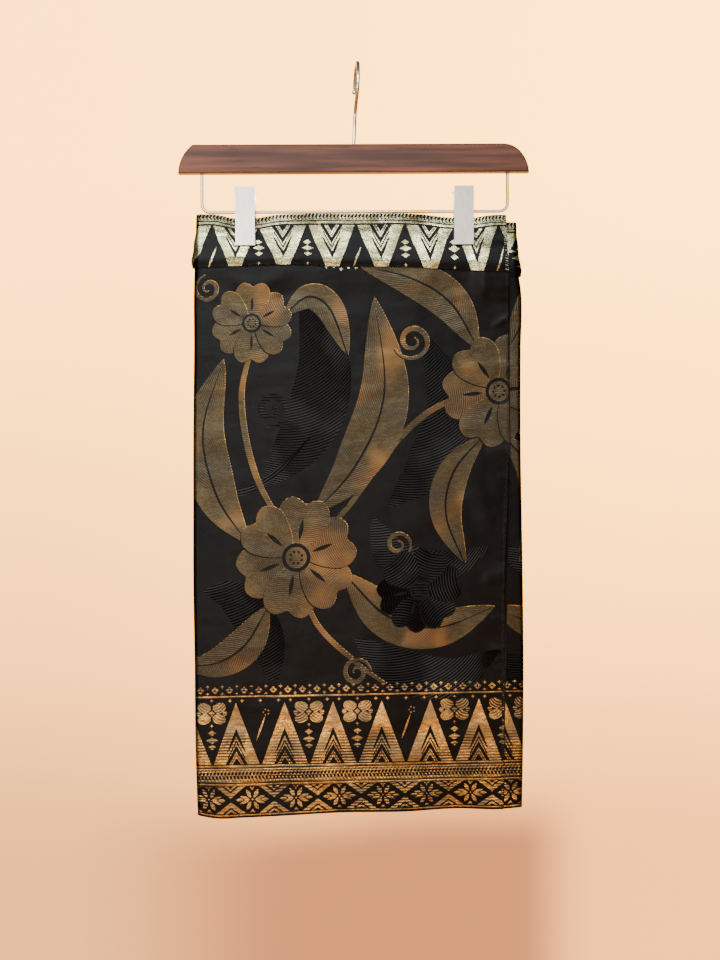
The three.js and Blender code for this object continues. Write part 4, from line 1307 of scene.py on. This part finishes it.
# Levels of the wall's painted light from the top down, then the top and foot of its painted shadow
BACKDROP_Z = (0.35, -0.775, -1.407, -1.144, -1.355)
BACKDROP_COLOURS = [
    # glowing colours of the painted light, left, right, from the top down
    ((7.4, 3.4, 0.7), (8.6, 4.0, 0.71)),
    ((4.7, 2.05, 0.45), (6.2, 2.6, 0.49)),
    ((2.2, 0.95, 0.3), (3.2, 1.25, 0.32)),
]
LIGHTS = [
    # name, place, target, size, watts, colour
    ("key", (-0.35, -1.75, 0.72), (-0.1, 0, -0.25), (1.3, 0.7), 42, (0.97, 1.0, 1.0)),
    ("panel", (-0.37, -1.72, -0.52), (-0.1, 0, -0.3), (0.3, 0.36), 9.0, (1.0, 0.985, 0.95)),
    ("warm_fill", (0.1, -1.75, -0.98), (0, 0, -0.7), (1.3, 0.24), 5.5, (1.0, 0.58, 0.28)),
]


def stage_plane(name, wide, near, far, material):
    """A plane of the stage between a near and a far edge, each given by its y and z."""
    mesh = bpy.data.meshes.new(name)
    corners = [(-wide, *near), (wide, *near), (wide, *far), (-wide, *far)]
    mesh.from_pydata(corners, [], [(0, 1, 2, 3)])
    mesh.materials.append(material)
    new_piece(name, mesh)


def floor_material(name):
    n = Nodes(name)
    _, y, _ = n.axes(n.place)
    share = n.spread(y, FLOOR_NEAR_Y, FLOOR_EDGE_Y)
    colour = n.mix(share, rgb(0.5, 0.26, 0.13), rgb(0.55, 0.28, 0.14))
    return n.set(Base_Color=colour, Roughness=0.9, Specular_IOR_Level=0.1)


def backdrop_material(name):
    """A glowing peach wall of painted light, brightest at the top and right, with a painted shadow at the
    bottom of the middle.
    """
    n = Nodes(name)
    x, _, z = n.axes(n.place)
    soft = n.times(n.math("SUBTRACT", n.noise(0.9, 1), 0.5), 0.28)
    z = n.math("ADD", z, soft)
    top, middle_z, low_z, shadow_top, shadow_low = BACKDROP_Z
    rightwards = n.spread(x, *BACKDROP_X)
    high, middle, low = (n.mix(rightwards, rgb(*a), rgb(*b)) for a, b in BACKDROP_COLOURS)
    colour = n.mix(n.spread(z, middle_z, top), middle, high)
    colour = n.mix(n.spread(z, low_z, middle_z + 0.21), low, colour)
    # painted shadow: a deeper, redder patch low in the middle of the wall
    shadow_across = n.times(n.spread(x, -0.77, -0.14), n.spread(x, 0.58, 0.385))
    painted_shadow = n.times(shadow_across, n.spread(z, shadow_top, shadow_low))
    colour = n.mix(painted_shadow, colour, rgb(1.15, 0.41, 0.155))
    # painted light: the wall glows with its colour though it is no lamp
    n.feed(n.shader.inputs["Emission Color"], colour)
    n.shader.inputs["Emission Strength"].default_value = 1.0
    return n.set(Base_Color=rgb(0, 0, 0), Roughness=n.times(soft, 0.1, 0.9))


def make_stage():
    near, edge_line = (FLOOR_NEAR_Y, FLOOR_Z), (FLOOR_EDGE_Y, FLOOR_Z)
    foot, top = (WALL_Y, WALL_LOW_Z), (WALL_Y, WALL_TOP_Z)
    stage_plane("backdrop", WALL_WIDE, foot, top, backdrop_material("backdrop"))
    stage_plane("floor", FLOOR_WIDE, near, edge_line, floor_material("floor"))
    stage_plane("floor_sweep", FLOOR_WIDE, edge_line, foot, floor_material("floor_sweep"))
    world = bpy.data.worlds.new("studio")
    world.use_nodes = True
    background = world.node_tree.nodes["Background"]
    background.inputs[0].default_value = rgb(1.0, 0.8, 0.66)
    background.inputs[1].default_value = 0.1
    bpy.context.scene.world = world
    for name, place, target, size, watts, colour in LIGHTS:
        data = bpy.data.lights.new(name, "AREA")
        data.shape = "RECTANGLE"
        data.size, data.size_y = size
        data.energy = watts
        data.color = colour
        light = new_piece(name, data)
        light.location = place
        light.rotation_euler = (Vector(target) - Vector(place)).to_track_quat("-Z", "Y").to_euler()


def make_camera():
    data = bpy.data.cameras.new("camera")
    data.sensor_fit = "VERTICAL"
    data.sensor_height = SENSOR
    data.lens = SENSOR * CAMERA_DISTANCE / FRAME_HEIGHT
    camera = new_piece("camera", data)
    camera.location = (CAMERA_X * MM, -CAMERA_DISTANCE * MM, CAMERA_Z * MM)
    camera.rotation_euler = (math.radians(90), 0, 0)
    bpy.context.scene.camera = camera


make_camera()
make_stage()
make_inner()
make_cloth()
make_stitches()
dress_hanger()
